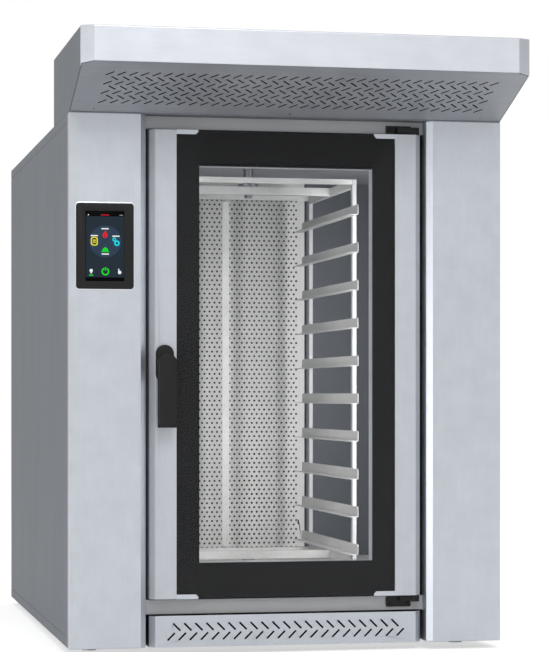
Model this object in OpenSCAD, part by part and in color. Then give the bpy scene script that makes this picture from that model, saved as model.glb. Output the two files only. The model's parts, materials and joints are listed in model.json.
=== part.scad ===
// Rotating rack oven with a glazed door, a touch screen and an extraction hood.
// Sizes are in millimetres. x runs to the right, y from the front to the back and z up.
// The origin lies on the floor, under the middle of the whole oven. The sizes build up from
// the trays outwards: trays, rack, cavity, insulation, body.

/* [Rack] */
// Width of the trays that the rack carries
tray_w = 400; // [360:5:450]
// Length of the trays, from the door to the back
tray_l = 600; // [560:5:650]
// Side gap between a tray and each rail
tray_gap = 3; // [2:0.5:5]
// How much longer the rails are than the trays
rail_extra = 18; // [10:1:30]
// Number of tray levels
levels = 10; // [8:1:11]
// Height from one tray level to the next
level_pitch = 89.3; // [80:0.1:100]
// Height of the upright web of a rail
rail_h = 25; // [20:1:30]
// Width of the ledge that a tray rests on
rail_ledge = 24; // [16:1:30]
// Sheet thickness of the rails
rail_t = 2; // [1.5:0.5:3]
// Width of a corner post
post_w = 10; // [8:1:14]
// Depth of a corner post
post_d = 16; // [12:1:24]
// Distance from a rail end to the middle of its post
post_inset = 70; // [50:1:90]
// Height of the side bars and of the middle channels
side_bar_h = 20; // [16:1:26]
// Height of the front and rear bars
cross_bar_h = 12; // [8:1:16]
// Width of the middle channels
channel_w = 20; // [16:1:40]
// Width of the bar that stops the trays at the back
stop_bar_w = 19; // [12:1:30]
// Thickness of the tray stop bar
stop_bar_t = 4; // [3:0.5:6]
// Room between the lowest ledge and the bottom frame
first_level_gap = 6.5; // [3:0.5:20]
// Headroom from the highest ledge to the top frame
head_room = 69; // [60:1:90]
// Radius of the shaft that turns the rack
rack_shaft_r = 12.5; // [10:0.5:16]
// Radius of the pivot pin on the cavity floor
floor_pin_r = 8; // [6:0.5:9]

/* [Cavity] */
// Room between the turning rack and the side walls
side_room = 59; // [40:1:90]
// Room between the turning rack and the door frame
front_room = 27; // [20:1:60]
// Room between the turning rack and the air diffuser
rear_room = 47; // [30:1:80]
// Room under the rack
floor_room = 24; // [16:1:40]
// Room above the rack
ceiling_room = 50; // [40:1:80]
// Depth of the fan room behind the diffuser
plenum_d = 198; // [180:1:240]
// Sheet thickness of the cavity walls
cavity_t = 2; // [1.5:0.5:3]
// Width of the perforated middle of the diffuser
perforated_w = 467; // [400:1:500]
// Width of the air slot on each side of it
air_slot_w = 4.4; // [3:0.2:12]
// Spacing of the diffuser holes
hole_pitch = 38; // [34:1:50]
// Radius of the diffuser holes
hole_r = 6; // [4:0.5:9]

/* [Insulation] */
// Thickness of the insulation at the sides
side_wool = 66; // [50:1:90]
// Thickness of the insulation at the back
back_wool = 60; // [50:1:80]
// Thickness of the insulation under the floor
floor_wool = 62; // [50:1:80]
// Thickness of the insulation on the ceiling
ceiling_wool = 64; // [50:1:90]

/* [Body] */
// Thickness of the outer sheet steel
sheet_t = 2; // [1.5:0.5:3]
// Height of the base box
base_h = 75; // [70:1:100]
// Depth of the service room at the back
service_d = 249; // [230:1:300]
// Depth to which the pillars fold round to the sides
pillar_return = 30; // [20:1:50]
// Width of the slanted inner edge of a pillar
pillar_chamfer = 13; // [6:1:16]
// Distance of the side seams from the top and bottom edges
seam_inset = 22; // [15:1:40]
// Width of a seam
seam_w = 2; // [1:0.5:3]
// Depth of a seam
seam_d = 1; // [0.5:0.1:1.2]
// Height of the feet
foot_h = 18; // [12:1:40]
// Radius of a foot's stem
foot_r = 10; // [9:0.5:14]
// Radius of a foot's pad
foot_pad_r = 16; // [15:0.5:25]
// Height of a foot's pad
foot_pad_h = 4; // [3:0.5:8]
// Distance of the feet from the sides of the body
foot_side = 64; // [50:1:120]
// Distance of the front feet from the pillars' front
foot_front = 154; // [130:1:220]

/* [Door] */
// How far the door's face lies behind the pillars
door_setback = 20; // [16:1:24]
// Depth of the door's outer frame
door_frame_d = 44; // [40:1:60]
// Depth of the liner frame on the door's inside
liner_d = 8; // [6:0.5:14]
// Space for the seal between the door and the body
seal_room = 10; // [8:0.5:14]
// Gap between the door and the pillars
door_gap = 10; // [8:0.5:14]
// Width of the cavity opening
opening_w = 480; // [450:1:500]
// Height of the sill under the opening, above the cavity floor
sill_h = 6; // [3:1:12]
// Height of the lintel above the opening, below the cavity ceiling
lintel_h = 15; // [8:1:20]
// How far the door overlaps the opening at each side
door_lap = 76; // [70:1:90]
// How far the door reaches below the cavity floor
door_lap_low = 33; // [28:1:45]
// How far the door reaches above the cavity ceiling
door_lap_high = 35; // [24:1:45]
// Width of the slanted edges of the door
bevel_w = 13; // [8:0.5:14]
// Depth of the slanted edges of the door
bevel_d = 11; // [6:0.5:12]
// Width of the steel stiles, slanted edge included
stile_w = 61.5; // [56:0.5:66]
// Wall thickness of the stiles
stile_t = 3; // [2:0.5:4]
// Thickness of the glass panes
glass_t = 4; // [3:0.5:5]
// How far the outer glass lies behind the stiles' face
glass_setback = 2; // [1.5:0.5:3]
// Width of the dark border at the sides of the glass
border_w = 53; // [40:0.5:60]
// Height of the dark border at the top and bottom of the glass
border_h = 81.5; // [76:0.5:90]
// Thickness of the dark border layer
border_t = 0.5; // [0.3:0.1:1]
// Wall thickness of the spacer frame round the window
spacer_t = 4; // [3:0.5:6]
// Width of the corner clips of the glass
clip_w = 50; // [30:1:70]
// Height of the corner clips of the glass
clip_h = 10.5; // [8:0.5:16]
// Width of the rubber seal
seal_w = 16; // [12:1:18]
// Radius of the hinge pins
hinge_pin_r = 5; // [3:0.5:5]
// Length of a hinge pin inside the door
hinge_pin_l = 16; // [10:1:18]

/* [Handle] */
// Height of the handle's axis above the body's underside
handle_z = 638; // [560:1:700]
// Width of the lever
lever_w = 42; // [30:1:46]
// Length of the lever below its axis
lever_l = 144; // [120:1:180]
// Thickness of the lever
lever_t = 22; // [14:1:28]
// Free space between the lever and the door's face
lever_standoff = 32; // [28:1:50]
// Height of the handle's back plate
handle_plate_h = 85; // [70:1:100]
// Thickness of the handle's back plate
handle_plate_t = 10; // [6:0.5:12]
// Radius of the handle's spindle
spindle_r = 8; // [5:0.5:9]

/* [Controls] */
// Width of the screen's bezel
bezel_w = 130; // [110:1:136]
// Height of the screen's bezel
bezel_h = 192; // [160:1:220]
// Corner radius of the bezel
bezel_r = 7.5; // [3:0.5:12]
// Thickness of the bezel
bezel_t = 3; // [2:0.5:5]
// Width of the display
display_w = 87; // [70:1:94]
// Height of the display
display_h = 157; // [130:1:160]
// Height of the screen's centre above the body's underside
screen_z = 900; // [800:1:1000]
// Distance of the screen's centre from the body's side
screen_side = 80; // [76:1:90]
// Depth of the electronics box behind the screen
console_d = 45; // [30:1:60]

/* [Vent grille] */
// Height of the grille panel
grille_h = 71; // [60:1:74]
// How far the grille reaches below the body
grille_drop = 2; // [0:0.5:5]
// Height of the lower row of slots above the body's underside
grille_row_z = 22; // [18:1:26]
// Distance between the two rows
grille_row_gap = 21.5; // [20:0.5:24]

/* [Hood] */
// How far the hood reaches out in front of the pillars
hood_reach = 233; // [200:1:280]
// Rise of the slanted underside
hood_rise = 80.7; // [60:0.1:100]
// Height of the hood's front face
fascia_h = 76.5; // [60:0.5:100]
// Width of the slanted corners of the hood's front
hood_corner_w = 27.5; // [10:0.5:40]
// Depth of the slanted corners of the hood's front
hood_corner_d = 13; // [5:0.5:20]
// Number of slot rows
slot_rows = 7; // [3:2:7]
// Distance between the slot rows
slot_row_gap = 22.7; // [20:0.1:26]
// Distance of the first slot row from the body's front
slot_row_start = 52; // [45:1:60]
// Spacing of the slots along a row
slot_pitch = 25.4; // [24:0.1:30]
// Length of a slot
slot_l = 24; // [16:1:25]
// Width of a slot
slot_w = 4; // [3:0.5:5]
// Radius of the duct collar on the hood
collar_r = 75; // [60:1:80]
// Height of the duct collar
collar_h = 40; // [30:1:60]
// Wall thickness of the duct collar and of the steam vent
duct_t = 2; // [1.5:0.5:3]

/* [Machinery] */
// Radius of a fan wheel
fan_r = 180; // [150:1:185]
// Width of a fan wheel
fan_w = 90; // [70:1:110]
// Number of blades of a fan wheel
fan_blades = 20; // [12:1:24]
// Radius of a fan shaft
fan_shaft_r = 10; // [8:0.5:14]
// Radius of a fan motor
fan_motor_r = 80; // [60:1:95]
// Length of a fan motor
fan_motor_l = 170; // [140:1:190]
// Gap between a fan wheel and its heating rings
heater_gap = 27; // [20:1:30]
// Radius of the heating tube
heater_r = 4.5; // [3:0.5:6]
// Width of the rack's gearbox
gearbox_w = 120; // [100:1:160]
// Height of the rack's gearbox
gearbox_h = 110; // [100:1:120]
// Radius of the rack's motor
rack_motor_r = 50; // [35:1:52]
// Length of the rack's motor
rack_motor_l = 160; // [120:1:170]
// Radius of the steam vent pipe
vent_r = 30; // [20:1:40]
// Length of the rear connections outside the back panel
fitting_l = 25; // [15:1:40]

/* [Hidden] */
$fn = 48;

// Clearances
touch = 0.3;      // between pieces that seat against each other
run = 0.05;       // round a shaft or pin that turns
eps = 1;          // how far a cutter overshoots

// Colours
steel = [0.76, 0.78, 0.81];
dark_steel = [0.5, 0.52, 0.54];
inner_steel = [0.66, 0.66, 0.65];
black = [0.13, 0.13, 0.13];
clear_glass = [0.7, 0.8, 0.85, 0.35];
wool = [0.85, 0.8, 0.6];

// Rack, seen from above: the radius it sweeps is rounded up to a full millimetre
web_x = tray_w / 2 + tray_gap;
post_x = web_x + rail_t;
rail_l = tray_l + rail_extra;
swing_r = ceil(norm([post_x, rail_l / 2]));
post_y = rail_l / 2 - post_inset;

// Depths, from the pillars' front plane at y = 0
frame_back = door_setback + door_frame_d;
door_back = frame_back + liner_d;
front_y = door_back + seal_room;
cavity_y = front_y + sheet_t;
rack_y = cavity_y + front_room + swing_r;
diffuser_y = rack_y + swing_r + rear_room;
back_wall_y = diffuser_y + cavity_t + plenum_d;
rear_wool_y = back_wall_y + cavity_t;
service_y = rear_wool_y + back_wool;
body_d = service_y + sheet_t + service_d + sheet_t;

// Widths
cavity_x = swing_r + side_room;
wool_x = cavity_x + cavity_t;
inner_x = wool_x + side_wool;
body_x = inner_x + sheet_t;
door_x = opening_w / 2 + door_lap;
recess_x = door_x + door_gap;
glass_x = door_x - stile_w;
window_x = glass_x - border_w;

// Heights, from the body's underside at z = 0
floor_z = base_h + floor_wool + cavity_t;
rack_z = floor_z + floor_room;
first_ledge_z = rack_z + side_bar_h + first_level_gap;
last_ledge_z = first_ledge_z + (levels - 1) * level_pitch;
rack_top_z = last_ledge_z + head_room + side_bar_h;
ceiling_z = rack_top_z + ceiling_room;
wool_top_z = ceiling_z + cavity_t + ceiling_wool;
body_h = wool_top_z + sheet_t;
opening_z = floor_z + sill_h;
opening_top_z = ceiling_z - lintel_h;
door_z = floor_z - door_lap_low;
door_top_z = ceiling_z + door_lap_high;
window_z = door_z + border_h;
window_top_z = door_top_z - border_h;
grille_z = -grille_drop;
grille_top_z = grille_z + grille_h;

// Crossmembers above and below the door
door_end_gap = 2;
lower_member_z = grille_top_z + door_end_gap;
lower_member_top = door_z - door_end_gap;
upper_member_z = door_top_z + door_end_gap;

// Drive cover on the roof, and the hood in front of it
cover_front = 140;                  // in front of the rack's axis
cover_rear = 260;                   // behind it
cover_x = 130;
cover_head = 35;                    // room above the gearbox
cover_h = gearbox_h + cover_head;
hood_a = atan2(hood_rise, hood_reach);
fascia_z = body_h + hood_rise;
hood_top_z = fascia_z + fascia_h;
hood_wrap = 15;                     // how far the front face folds round to the sides
hood_room = 30;                     // between the hood and the drive cover
hood_back = rack_y - cover_front - hood_room;
collar_ahead = 6;                   // duct collar, ahead of the middle of the roof under the hood
collar_y = hood_back / 2 - collar_ahead;

// Hinge line of the door, inside its slanted edge
hinge_side = 2;                     // from the slanted edge's front corner, sideways
hinge_x = door_x - bevel_w + hinge_side;
hinge_y = door_setback + bevel_d;
knuckle_wall = 4;
knuckle_r = hinge_pin_r + knuckle_wall;
crossmember_y = hinge_y + knuckle_r + touch;

// Handle
handle_shift = 3.25;                // from the stile's middle towards the glass
handle_x = -(door_x - stile_w / 2 - handle_shift);
lever_y = door_setback - lever_standoff;
lever_front = lever_y - lever_t;
cam_reach = 7;                      // latch cam, behind the door's outer frame
spindle_end = frame_back + cam_reach;
spindle_depth = 12;                 // spindle, inside the lever

// Screen
screen_x = -(body_x - screen_side);
bezel_lap = 10;                     // how far the bezel covers the pillar round its cut-out
console_w = bezel_w - 2 * bezel_lap;
console_h = bezel_h - 2 * bezel_lap;

// Fans, one above the other on the back wall
fan_gap_z = (ceiling_z - floor_z) / 4;
fan_zs = [floor_z + fan_gap_z, ceiling_z - fan_gap_z];
fan_ahead = 6;                      // wheels, ahead of the middle of the fan room
fan_y = diffuser_y + cavity_t + (plenum_d - fan_w) / 2 - fan_ahead;
ring_r = fan_r + heater_gap;
shaft_room = 4;                     // round a fan shaft, where it passes through the walls
shaft_hole_r = fan_shaft_r + shaft_room;

// Steam vent
vent_x = 300;
vent_y = 200;
damper_rise = 40;                   // damper, above the roof
damper_z = body_h + damper_rise;

// Whole oven, for the origin
mid_y = (body_d + fitting_l - hood_reach) / 2;

module placed() {
    translate([0, -mid_y, foot_h]) children();
}

// A block between two corners
module block(a, b) {
    translate(a) cube(b - a);
}

// A block on both sides of the middle plane, given on the right
module pair(a, b) {
    for (side = [-1, 1])
        block([side > 0 ? a.x : -b.x, a.y, a.z], [side > 0 ? b.x : -a.x, b.y, b.z]);
}

// A bore or pin along y, or along x
module rod_y(r, x, z, y0, y1) {
    translate([x, y0, z]) rotate([-90, 0, 0]) cylinder(r = r, h = y1 - y0);
}
module rod_x(r, y, z, x0, x1) {
    translate([x0, y, z]) rotate([0, 90, 0]) cylinder(r = r, h = x1 - x0);
}
module rod_z(r, x, y, z0, z1) {
    translate([x, y, z0]) cylinder(r = r, h = z1 - z0);
}

// Flat shapes, drawn round the middle
module slot_2d(l, w) {
    square([l - w, w], center = true);
    for (side = [-1, 1]) translate([side * (l - w) / 2, 0]) circle(d = w);
}
module rounded_2d(w, h, r) {
    square([w - 2 * r, h], center = true);
    square([w, h - 2 * r], center = true);
    for (i = [-1, 1], j = [-1, 1]) translate([i * (w / 2 - r), j * (h / 2 - r)]) circle(r = r);
}

// A row of slanted slots
module slot_row(count, turn) {
    for (i = [0 : count - 1])
        translate([(i - (count - 1) / 2) * slot_pitch, 0]) rotate(turn) slot_2d(slot_l, slot_w);
}

// A frame between an outer and an inner rectangle, y0 to y1 deep
module frame_xz(x_out, z_out, z_out_top, x_in, z_in, z_in_top, y0, y1) {
    difference() {
        block([-x_out, y0, z_out], [x_out, y1, z_out_top]);
        block([-x_in, y0 - eps, z_in], [x_in, y1 + eps, z_in_top]);
    }
}

// An upright plate in the x-z plane is drawn flat and stood up with its face at y
module stand_up(y, t) {
    translate([0, y + t, 0]) rotate([90, 0, 0]) linear_extrude(t) children();
}

// ---- Body ----

// Air duct behind the grille, through the front bulkhead and the base box
duct_side = 30;                     // inside the recess at each side
duct_low = 8;
duct_head = 15;                     // below the top of the base box
module air_duct() {
    x = recess_x - duct_side;
    block([-x, front_y - eps, duct_low], [x, cavity_y + sheet_t + eps, base_h - duct_head]);
}

module base_box() {
    bottom_t = 3;
    drain = fittings()[2];
    color(dark_steel) placed() difference() {
        block([-inner_x, cavity_y, 0], [inner_x, body_d - sheet_t, base_h]);
        rod_y(drain[2] + touch, drain[0], drain[1], body_d - 2 * sheet_t - eps, body_d);
        block([-inner_x + sheet_t, cavity_y + sheet_t, bottom_t],
            [inner_x - sheet_t, body_d - 2 * sheet_t, base_h - sheet_t]);
        air_duct();
        for (p = foot_places()) rod_z(foot_stud_r + touch, p.x, p.y, -eps, bottom_t + eps);
    }
}

foot_stud_r = foot_r * 0.8;
foot_stud_top = 20;
function foot_places() = [for (x = [-1, 1], y = [foot_front, body_d - foot_front])
    [x * (body_x - foot_side), y]];

module levelling_feet() {
    color("dimgray") placed() for (p = foot_places()) {
        rod_z(foot_pad_r, p.x, p.y, -foot_h, foot_pad_h - foot_h);
        rod_z(foot_r, p.x, p.y, -foot_h, 0);
        rod_z(foot_stud_r, p.x, p.y, -foot_h, foot_stud_top);
    }
}

module side_panels() {
    seam_start = 35;                // behind the pillar's fold
    seam_front = pillar_return + seam_start;
    color(dark_steel) placed() for (side = [-1, 1]) difference() {
        block([side > 0 ? inner_x : -body_x, pillar_return, 0],
            [side > 0 ? body_x : -inner_x, body_d, body_h - sheet_t]);
        for (z = [seam_inset, body_h - seam_inset - seam_w])
            block([side > 0 ? body_x - seam_d : -body_x - eps, seam_front, z],
                [side > 0 ? body_x + eps : seam_d - body_x, body_d + eps, z + seam_w]);
    }
}

module back_panel() {
    louvres = 10;
    louvre_l = 120;
    louvre_w = 8;
    louvre_pitch = 20;
    louvre_x = 280;                 // middle of each column
    color(dark_steel) placed() difference() {
        block([-inner_x, body_d - sheet_t, 0], [inner_x, body_d, body_h - sheet_t]);
        for (side = [-1, 1], i = [0 : louvres - 1], z = fan_zs)
            translate([side * louvre_x, body_d + eps, z + (i - (louvres - 1) / 2) * louvre_pitch])
                rotate([90, 0, 0]) linear_extrude(sheet_t + 2 * eps) slot_2d(louvre_l, louvre_w);
        for (f = fittings()) rod_y(f[2] + touch, f[0], f[1], body_d - sheet_t - eps, body_d + eps);
    }
}

module top_panel() {
    color(dark_steel) placed() difference() {
        block([-body_x, 0, body_h - sheet_t], [body_x, body_d, body_h]);
        rod_z(bush_r, 0, rack_y, body_h - sheet_t - eps, body_h + eps);
        rod_z(vent_r, vent_x, vent_y, body_h - sheet_t - eps, body_h + eps);
    }
}

// How far a sheet's inner corner moves along the side or along the front, per unit of its
// thickness, where a slant w wide and d deep joins the two
function side_fold(w, d) = tan(atan2(w, d) / 2);
function front_fold(w, d) = tan(atan2(d, w) / 2);

// Folded pillar, open towards the inside of the body
module pillar(side) {
    k = sheet_t * side_fold(pillar_chamfer, pillar_chamfer);
    edge_x = recess_x + pillar_chamfer;
    outside = [[body_x, pillar_return], [body_x, 0], [edge_x, 0], [recess_x, pillar_chamfer],
        [recess_x, front_y]];
    inside = [[recess_x + sheet_t, front_y], [recess_x + sheet_t, pillar_chamfer + k],
        [edge_x + k, sheet_t], [inner_x, sheet_t], [inner_x, pillar_return]];
    mirror([side > 0 ? 0 : 1, 0, 0]) linear_extrude(body_h - sheet_t)
        polygon(concat(outside, inside));
}

module left_pillar() {
    color(steel) placed() difference() {
        pillar(-1);
        translate([screen_x, -eps, screen_z]) rotate([-90, 0, 0])
            linear_extrude(sheet_t + 2 * eps) square([console_w, console_h], center = true);
    }
}

module right_pillar() {
    color(steel) placed() pillar(1);
}

// Sheet that carries the cavity and the seal, right across the front
module front_bulkhead() {
    color(dark_steel) placed() difference() {
        block([-inner_x, front_y, 0], [inner_x, cavity_y, body_h - sheet_t]);
        block([-opening_w / 2, front_y - eps, opening_z], [opening_w / 2, cavity_y + eps, opening_top_z]);
        air_duct();
    }
}

// Folded strips above and below the door, open at the back
module crossmembers() {
    color(dark_steel) placed() {
        for (z = [[lower_member_z, lower_member_top], [upper_member_z, body_h - sheet_t]])
            difference() {
                block([-recess_x, crossmember_y, z[0]], [recess_x, front_y, z[1]]);
                block([-recess_x - eps, crossmember_y + sheet_t, z[0] + sheet_t],
                    [recess_x + eps, front_y + eps, z[1] - sheet_t]);
            }
    }
}

// Outline of the door and of the grille, seen from above
function bevelled(x, y_back) = [[-x, y_back], [-x, hinge_y], [bevel_w - x, door_setback],
    [x - bevel_w, door_setback], [x, hinge_y], [x, y_back]];

module vent_grille() {
    slots = 22;                     // in the lower row; the upper one has one less
    side_y = hinge_y + sheet_t * side_fold(bevel_w, bevel_d);
    inner = door_x - sheet_t;
    front = door_x - bevel_w - sheet_t * front_fold(bevel_w, bevel_d);
    hollow = [[-inner, front_y + eps], [-inner, side_y], [-front, door_setback + sheet_t],
        [front, door_setback + sheet_t], [inner, side_y], [inner, front_y + eps]];
    color(steel) placed() difference() {
        translate([0, 0, grille_z]) linear_extrude(grille_h) polygon(bevelled(door_x, front_y));
        translate([0, 0, grille_z - eps]) linear_extrude(grille_h + eps - sheet_t) polygon(hollow);
        stand_up(door_setback - eps, sheet_t + 2 * eps) {
            translate([0, grille_row_z]) slot_row(slots, 45);
            translate([0, grille_row_z + grille_row_gap]) slot_row(slots - 1, -45);
        }
    }
}

// ---- Cavity ----

bush_wall = 3.5;
bush_r = rack_shaft_r + bush_wall;
floor_drain = 40;                   // drain hole, in front of the diffuser
floor_drain_y = diffuser_y - floor_drain;

module cavity_floor() {
    color(inner_steel) placed() difference() {
        block([-wool_x, cavity_y, floor_z - cavity_t], [wool_x, rear_wool_y, floor_z]);
        rod_z(drain_r, 0, floor_drain_y, floor_z - cavity_t - eps, floor_z + eps);
    }
}

module cavity_ceiling() {
    color(inner_steel) placed() difference() {
        block([-wool_x, cavity_y, ceiling_z], [wool_x, rear_wool_y, ceiling_z + cavity_t]);
        rod_z(bush_r, 0, rack_y, ceiling_z - eps, ceiling_z + cavity_t + eps);
        rod_z(vent_r - duct_t, vent_x, vent_y, ceiling_z - eps, ceiling_z + cavity_t + eps);
    }
}

module cavity_side_walls() {
    color(inner_steel) placed() pair([cavity_x, cavity_y, floor_z], [wool_x, rear_wool_y, ceiling_z]);
}

module cavity_back_wall() {
    color(inner_steel) placed() difference() {
        block([-cavity_x, back_wall_y, floor_z], [cavity_x, rear_wool_y, ceiling_z]);
        for (z = fan_zs) rod_y(shaft_hole_r, 0, z, back_wall_y - eps, rear_wool_y + eps);
    }
}

// Perforated sheet; its hole grid stays inside an edge margin
module diffuser_panel() {
    margin = 25;
    row_share = 0.9;                // spacing of the rows, as a share of the holes' spacing
    row_pitch = hole_pitch * row_share;
    columns = floor((perforated_w - 2 * margin) / hole_pitch);
    rows = floor((ceiling_z - floor_z - 2 * margin) / row_pitch);
    color(inner_steel) placed() difference() {
        block([-perforated_w / 2, diffuser_y, floor_z], [perforated_w / 2, diffuser_y + cavity_t, ceiling_z]);
        stand_up(diffuser_y - eps, cavity_t + 2 * eps)
            for (j = [0 : rows], i = [0 : columns - j % 2])
                translate([(i - columns / 2 + (j % 2) / 2) * hole_pitch,
                    (floor_z + ceiling_z) / 2 + (j - rows / 2) * row_pitch]) circle(r = hole_r);
    }
}

module diffuser_wings() {
    color(dark_steel) placed() pair([perforated_w / 2 + air_slot_w, diffuser_y, floor_z],
        [cavity_x, diffuser_y + cavity_t, ceiling_z]);
}

module insulation() {
    color(wool) placed() {
        pair([wool_x, cavity_y, base_h], [inner_x, service_y, wool_top_z]);
        difference() {
            block([-wool_x, cavity_y, base_h], [wool_x, service_y, floor_z - cavity_t]);
            rod_z(drain_r, 0, floor_drain_y, base_h - eps, floor_z);
        }
        difference() {
            block([-wool_x, cavity_y, ceiling_z + cavity_t], [wool_x, service_y, wool_top_z]);
            rod_z(bush_r, 0, rack_y, ceiling_z, body_h);
            rod_z(vent_r, vent_x, vent_y, ceiling_z, body_h);
        }
        difference() {
            block([-wool_x, rear_wool_y, floor_z - cavity_t], [wool_x, service_y, ceiling_z + cavity_t]);
            for (z = fan_zs) rod_y(shaft_hole_r, 0, z, rear_wool_y - eps, service_y + eps);
        }
    }
}

module rear_bulkhead() {
    color(dark_steel) placed() difference() {
        block([-inner_x, service_y, base_h], [inner_x, service_y + sheet_t, body_h - sheet_t]);
        for (z = fan_zs) rod_y(shaft_hole_r, 0, z, service_y - eps, service_y + sheet_t + eps);
    }
}

// ---- Seals, hinges, latch and screws ----

seal_in = 3;                        // seal, outside the edge of the opening
module door_seal() {
    strip_w = 7;                    // strip that darkens the gap beside the door
    strip_front = 10;               // its distance from the crossmembers' face
    strip_back = 12;                // and from the front bulkhead
    x = opening_w / 2 + seal_in;
    color(black) placed() {
        frame_xz(x + seal_w, opening_z - seal_in - seal_w, opening_top_z + seal_in + seal_w,
            x, opening_z - seal_in, opening_top_z + seal_in, door_back + touch, front_y);
        pair([recess_x - strip_w, crossmember_y + strip_front, lower_member_top],
            [recess_x, front_y - strip_back, upper_member_z]);
    }
}

// Hinge plates, screwed to the crossmembers
hinge_plate_w = 59;
hinge_plate_h = 24;
high_plate_h = 18;
hinge_plate_t = 3;
hinge_span = 68;                    // from the hinge line to the plates' far edge
hinge_inset = 1;                    // plates, inside the crossmembers' edges
hinge_plate_x = hinge_x - hinge_span;
hinge_plate_y = crossmember_y - hinge_plate_t;
low_hinge_z = lower_member_top - hinge_inset;
high_hinge_z = upper_member_z + hinge_inset;

screw_r = 2.5;
hinge_screw_side = 9;               // screws, from the plates' ends
hinge_screw_low = 7;                // and above the lower plate's edge
function hinge_screws() = let (low_z = low_hinge_z - hinge_plate_h + hinge_screw_low) [
    [hinge_plate_x + hinge_screw_side, low_z],
    [hinge_plate_x + hinge_plate_w - hinge_screw_side, low_z],
    [hinge_plate_x + hinge_screw_side, high_hinge_z + high_plate_h / 2]];

// Each arm starts on its plate and reaches a little in front of the hinge line
module hinge_arm(start, ahead, z0, z1) {
    block([hinge_plate_x + start, hinge_y - ahead, z0], [hinge_x, crossmember_y, z1]);
}

// What a plate and its arm leave free: the screws, and the knuckle but for its outermost layer
module hinge_holes(z0, z1) {
    rod_z(knuckle_r - eps, hinge_x, hinge_y, z0 - eps, z1 + eps);
    for (p = hinge_screws()) rod_y(screw_r, p.x, p.y, hinge_plate_y - eps, crossmember_y + eps);
}

module hinge_brackets() {
    corner_r = 4;
    low_arm_h = 10;
    high_arm_h = 14;
    low_knuckle_h = 12;
    low_knuckle_z = low_hinge_z - low_knuckle_h;
    high_knuckle_z = high_hinge_z + high_arm_h;
    color(black) placed() {
        difference() {
            union() {
                translate([hinge_plate_x + hinge_plate_w / 2, 0, low_hinge_z - hinge_plate_h / 2])
                    stand_up(hinge_plate_y, hinge_plate_t) rounded_2d(hinge_plate_w, hinge_plate_h, corner_r);
                hinge_arm(30, 4, low_hinge_z - low_arm_h, low_hinge_z);
            }
            hinge_holes(low_hinge_z - hinge_plate_h, low_hinge_z);
        }
        rod_z(knuckle_r, hinge_x, hinge_y, low_knuckle_z, door_z - touch);
        rod_z(hinge_pin_r, hinge_x, hinge_y, low_knuckle_z, door_z + hinge_pin_l);
        difference() {
            union() {
                block([hinge_plate_x, hinge_plate_y, high_hinge_z],
                    [hinge_plate_x + hinge_plate_w, crossmember_y, high_hinge_z + high_plate_h]);
                hinge_arm(24, 6, high_hinge_z, high_knuckle_z);
            }
            hinge_holes(high_hinge_z, high_hinge_z + high_plate_h);
        }
        rod_z(knuckle_r, hinge_x, hinge_y, door_top_z + touch, high_knuckle_z);
        rod_z(hinge_pin_r, hinge_x, hinge_y, door_top_z - hinge_pin_l, high_knuckle_z);
    }
}

module latch_keeper() {
    keeper_h = 76;
    keeper_out = 30;                // from the handle's axis towards the pillar
    keeper_in = 14;                 // and towards the glass
    keeper_room = 2;                // behind the closed door
    color("dimgray") placed()
        block([handle_x - keeper_out, door_back + keeper_room, handle_z - keeper_h / 2],
            [handle_x + keeper_in, front_y, handle_z + keeper_h / 2]);
}

// Round-headed screws of the hinges and of the hood's underside
module screws() {
    head_r = 4;
    head_h = 2;
    slack = 0.1;                    // between a screw and its hole
    hood_screw_r = 3;
    hood_screw_h = 1.6;
    hood_screw_side = 53;           // from the body's sides
    hood_screw_up = 14;             // along the slant
    color("gray") placed() {
        for (p = hinge_screws()) {
            rod_y(head_r, p.x, p.y, hinge_plate_y - head_h, hinge_plate_y);
            rod_y(screw_r - slack, p.x, p.y, hinge_plate_y - head_h, crossmember_y);
        }
        hood_plane() for (i = [-1, 0, 1]) translate([i * (body_x - hood_screw_side), hood_screw_up, 0])
            cylinder(r = hood_screw_r, h = hood_screw_h);
    }
}

// ---- Screen ----

module screen_bezel() {
    color(black) placed() difference() {
        translate([screen_x, 0, screen_z]) stand_up(-bezel_t, bezel_t) rounded_2d(bezel_w, bezel_h, bezel_r);
        block([screen_x - display_w / 2, -bezel_t - eps, screen_z - display_h / 2],
            [screen_x + display_w / 2, eps, screen_z + display_h / 2]);
    }
}

module screen_display() {
    recess = 0.4;                   // behind the bezel's face
    color([0.16, 0.2, 0.25]) placed()
        block([screen_x - display_w / 2, recess - bezel_t, screen_z - display_h / 2],
            [screen_x + display_w / 2, 0, screen_z + display_h / 2]);
}

module screen_console() {
    color("dimgray") placed()
        block([screen_x - console_w / 2 + touch, 0, screen_z - console_h / 2 + touch],
            [screen_x + console_w / 2 - touch, console_d, screen_z + console_h / 2 - touch]);
}

// ---- Hood ----

// Outline of the hood from above, moved in by a distance
function hood_plan(d) = let (
    side_y = hood_corner_d - hood_reach + d * side_fold(hood_corner_w, hood_corner_d),
    front_x = body_x - hood_corner_w - d * front_fold(hood_corner_w, hood_corner_d))
    [[d - body_x, hood_back - d], [d - body_x, side_y], [-front_x, d - hood_reach],
    [front_x, d - hood_reach], [body_x - d, side_y], [body_x - d, hood_back - d]];

// Everything above the slanted underside, between two depths
module above_slant(y0, y1) {
    slope = tan(hood_a);
    low = y1 > 0 ? [[0, body_h], [y1, body_h]] : [[y1, body_h - slope * y1]];
    side = concat([[y0, hood_top_z + eps], [y0, body_h - slope * y0]], low, [[y1, hood_top_z + eps]]);
    translate([-body_x - eps, 0, 0]) rotate([90, 0, 90])
        linear_extrude(2 * (body_x + eps)) polygon(side);
}

module hood_ring() {
    translate([0, 0, body_h]) linear_extrude(hood_top_z - body_h) difference() {
        polygon(hood_plan(0));
        polygon(hood_plan(sheet_t));
    }
}

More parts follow.
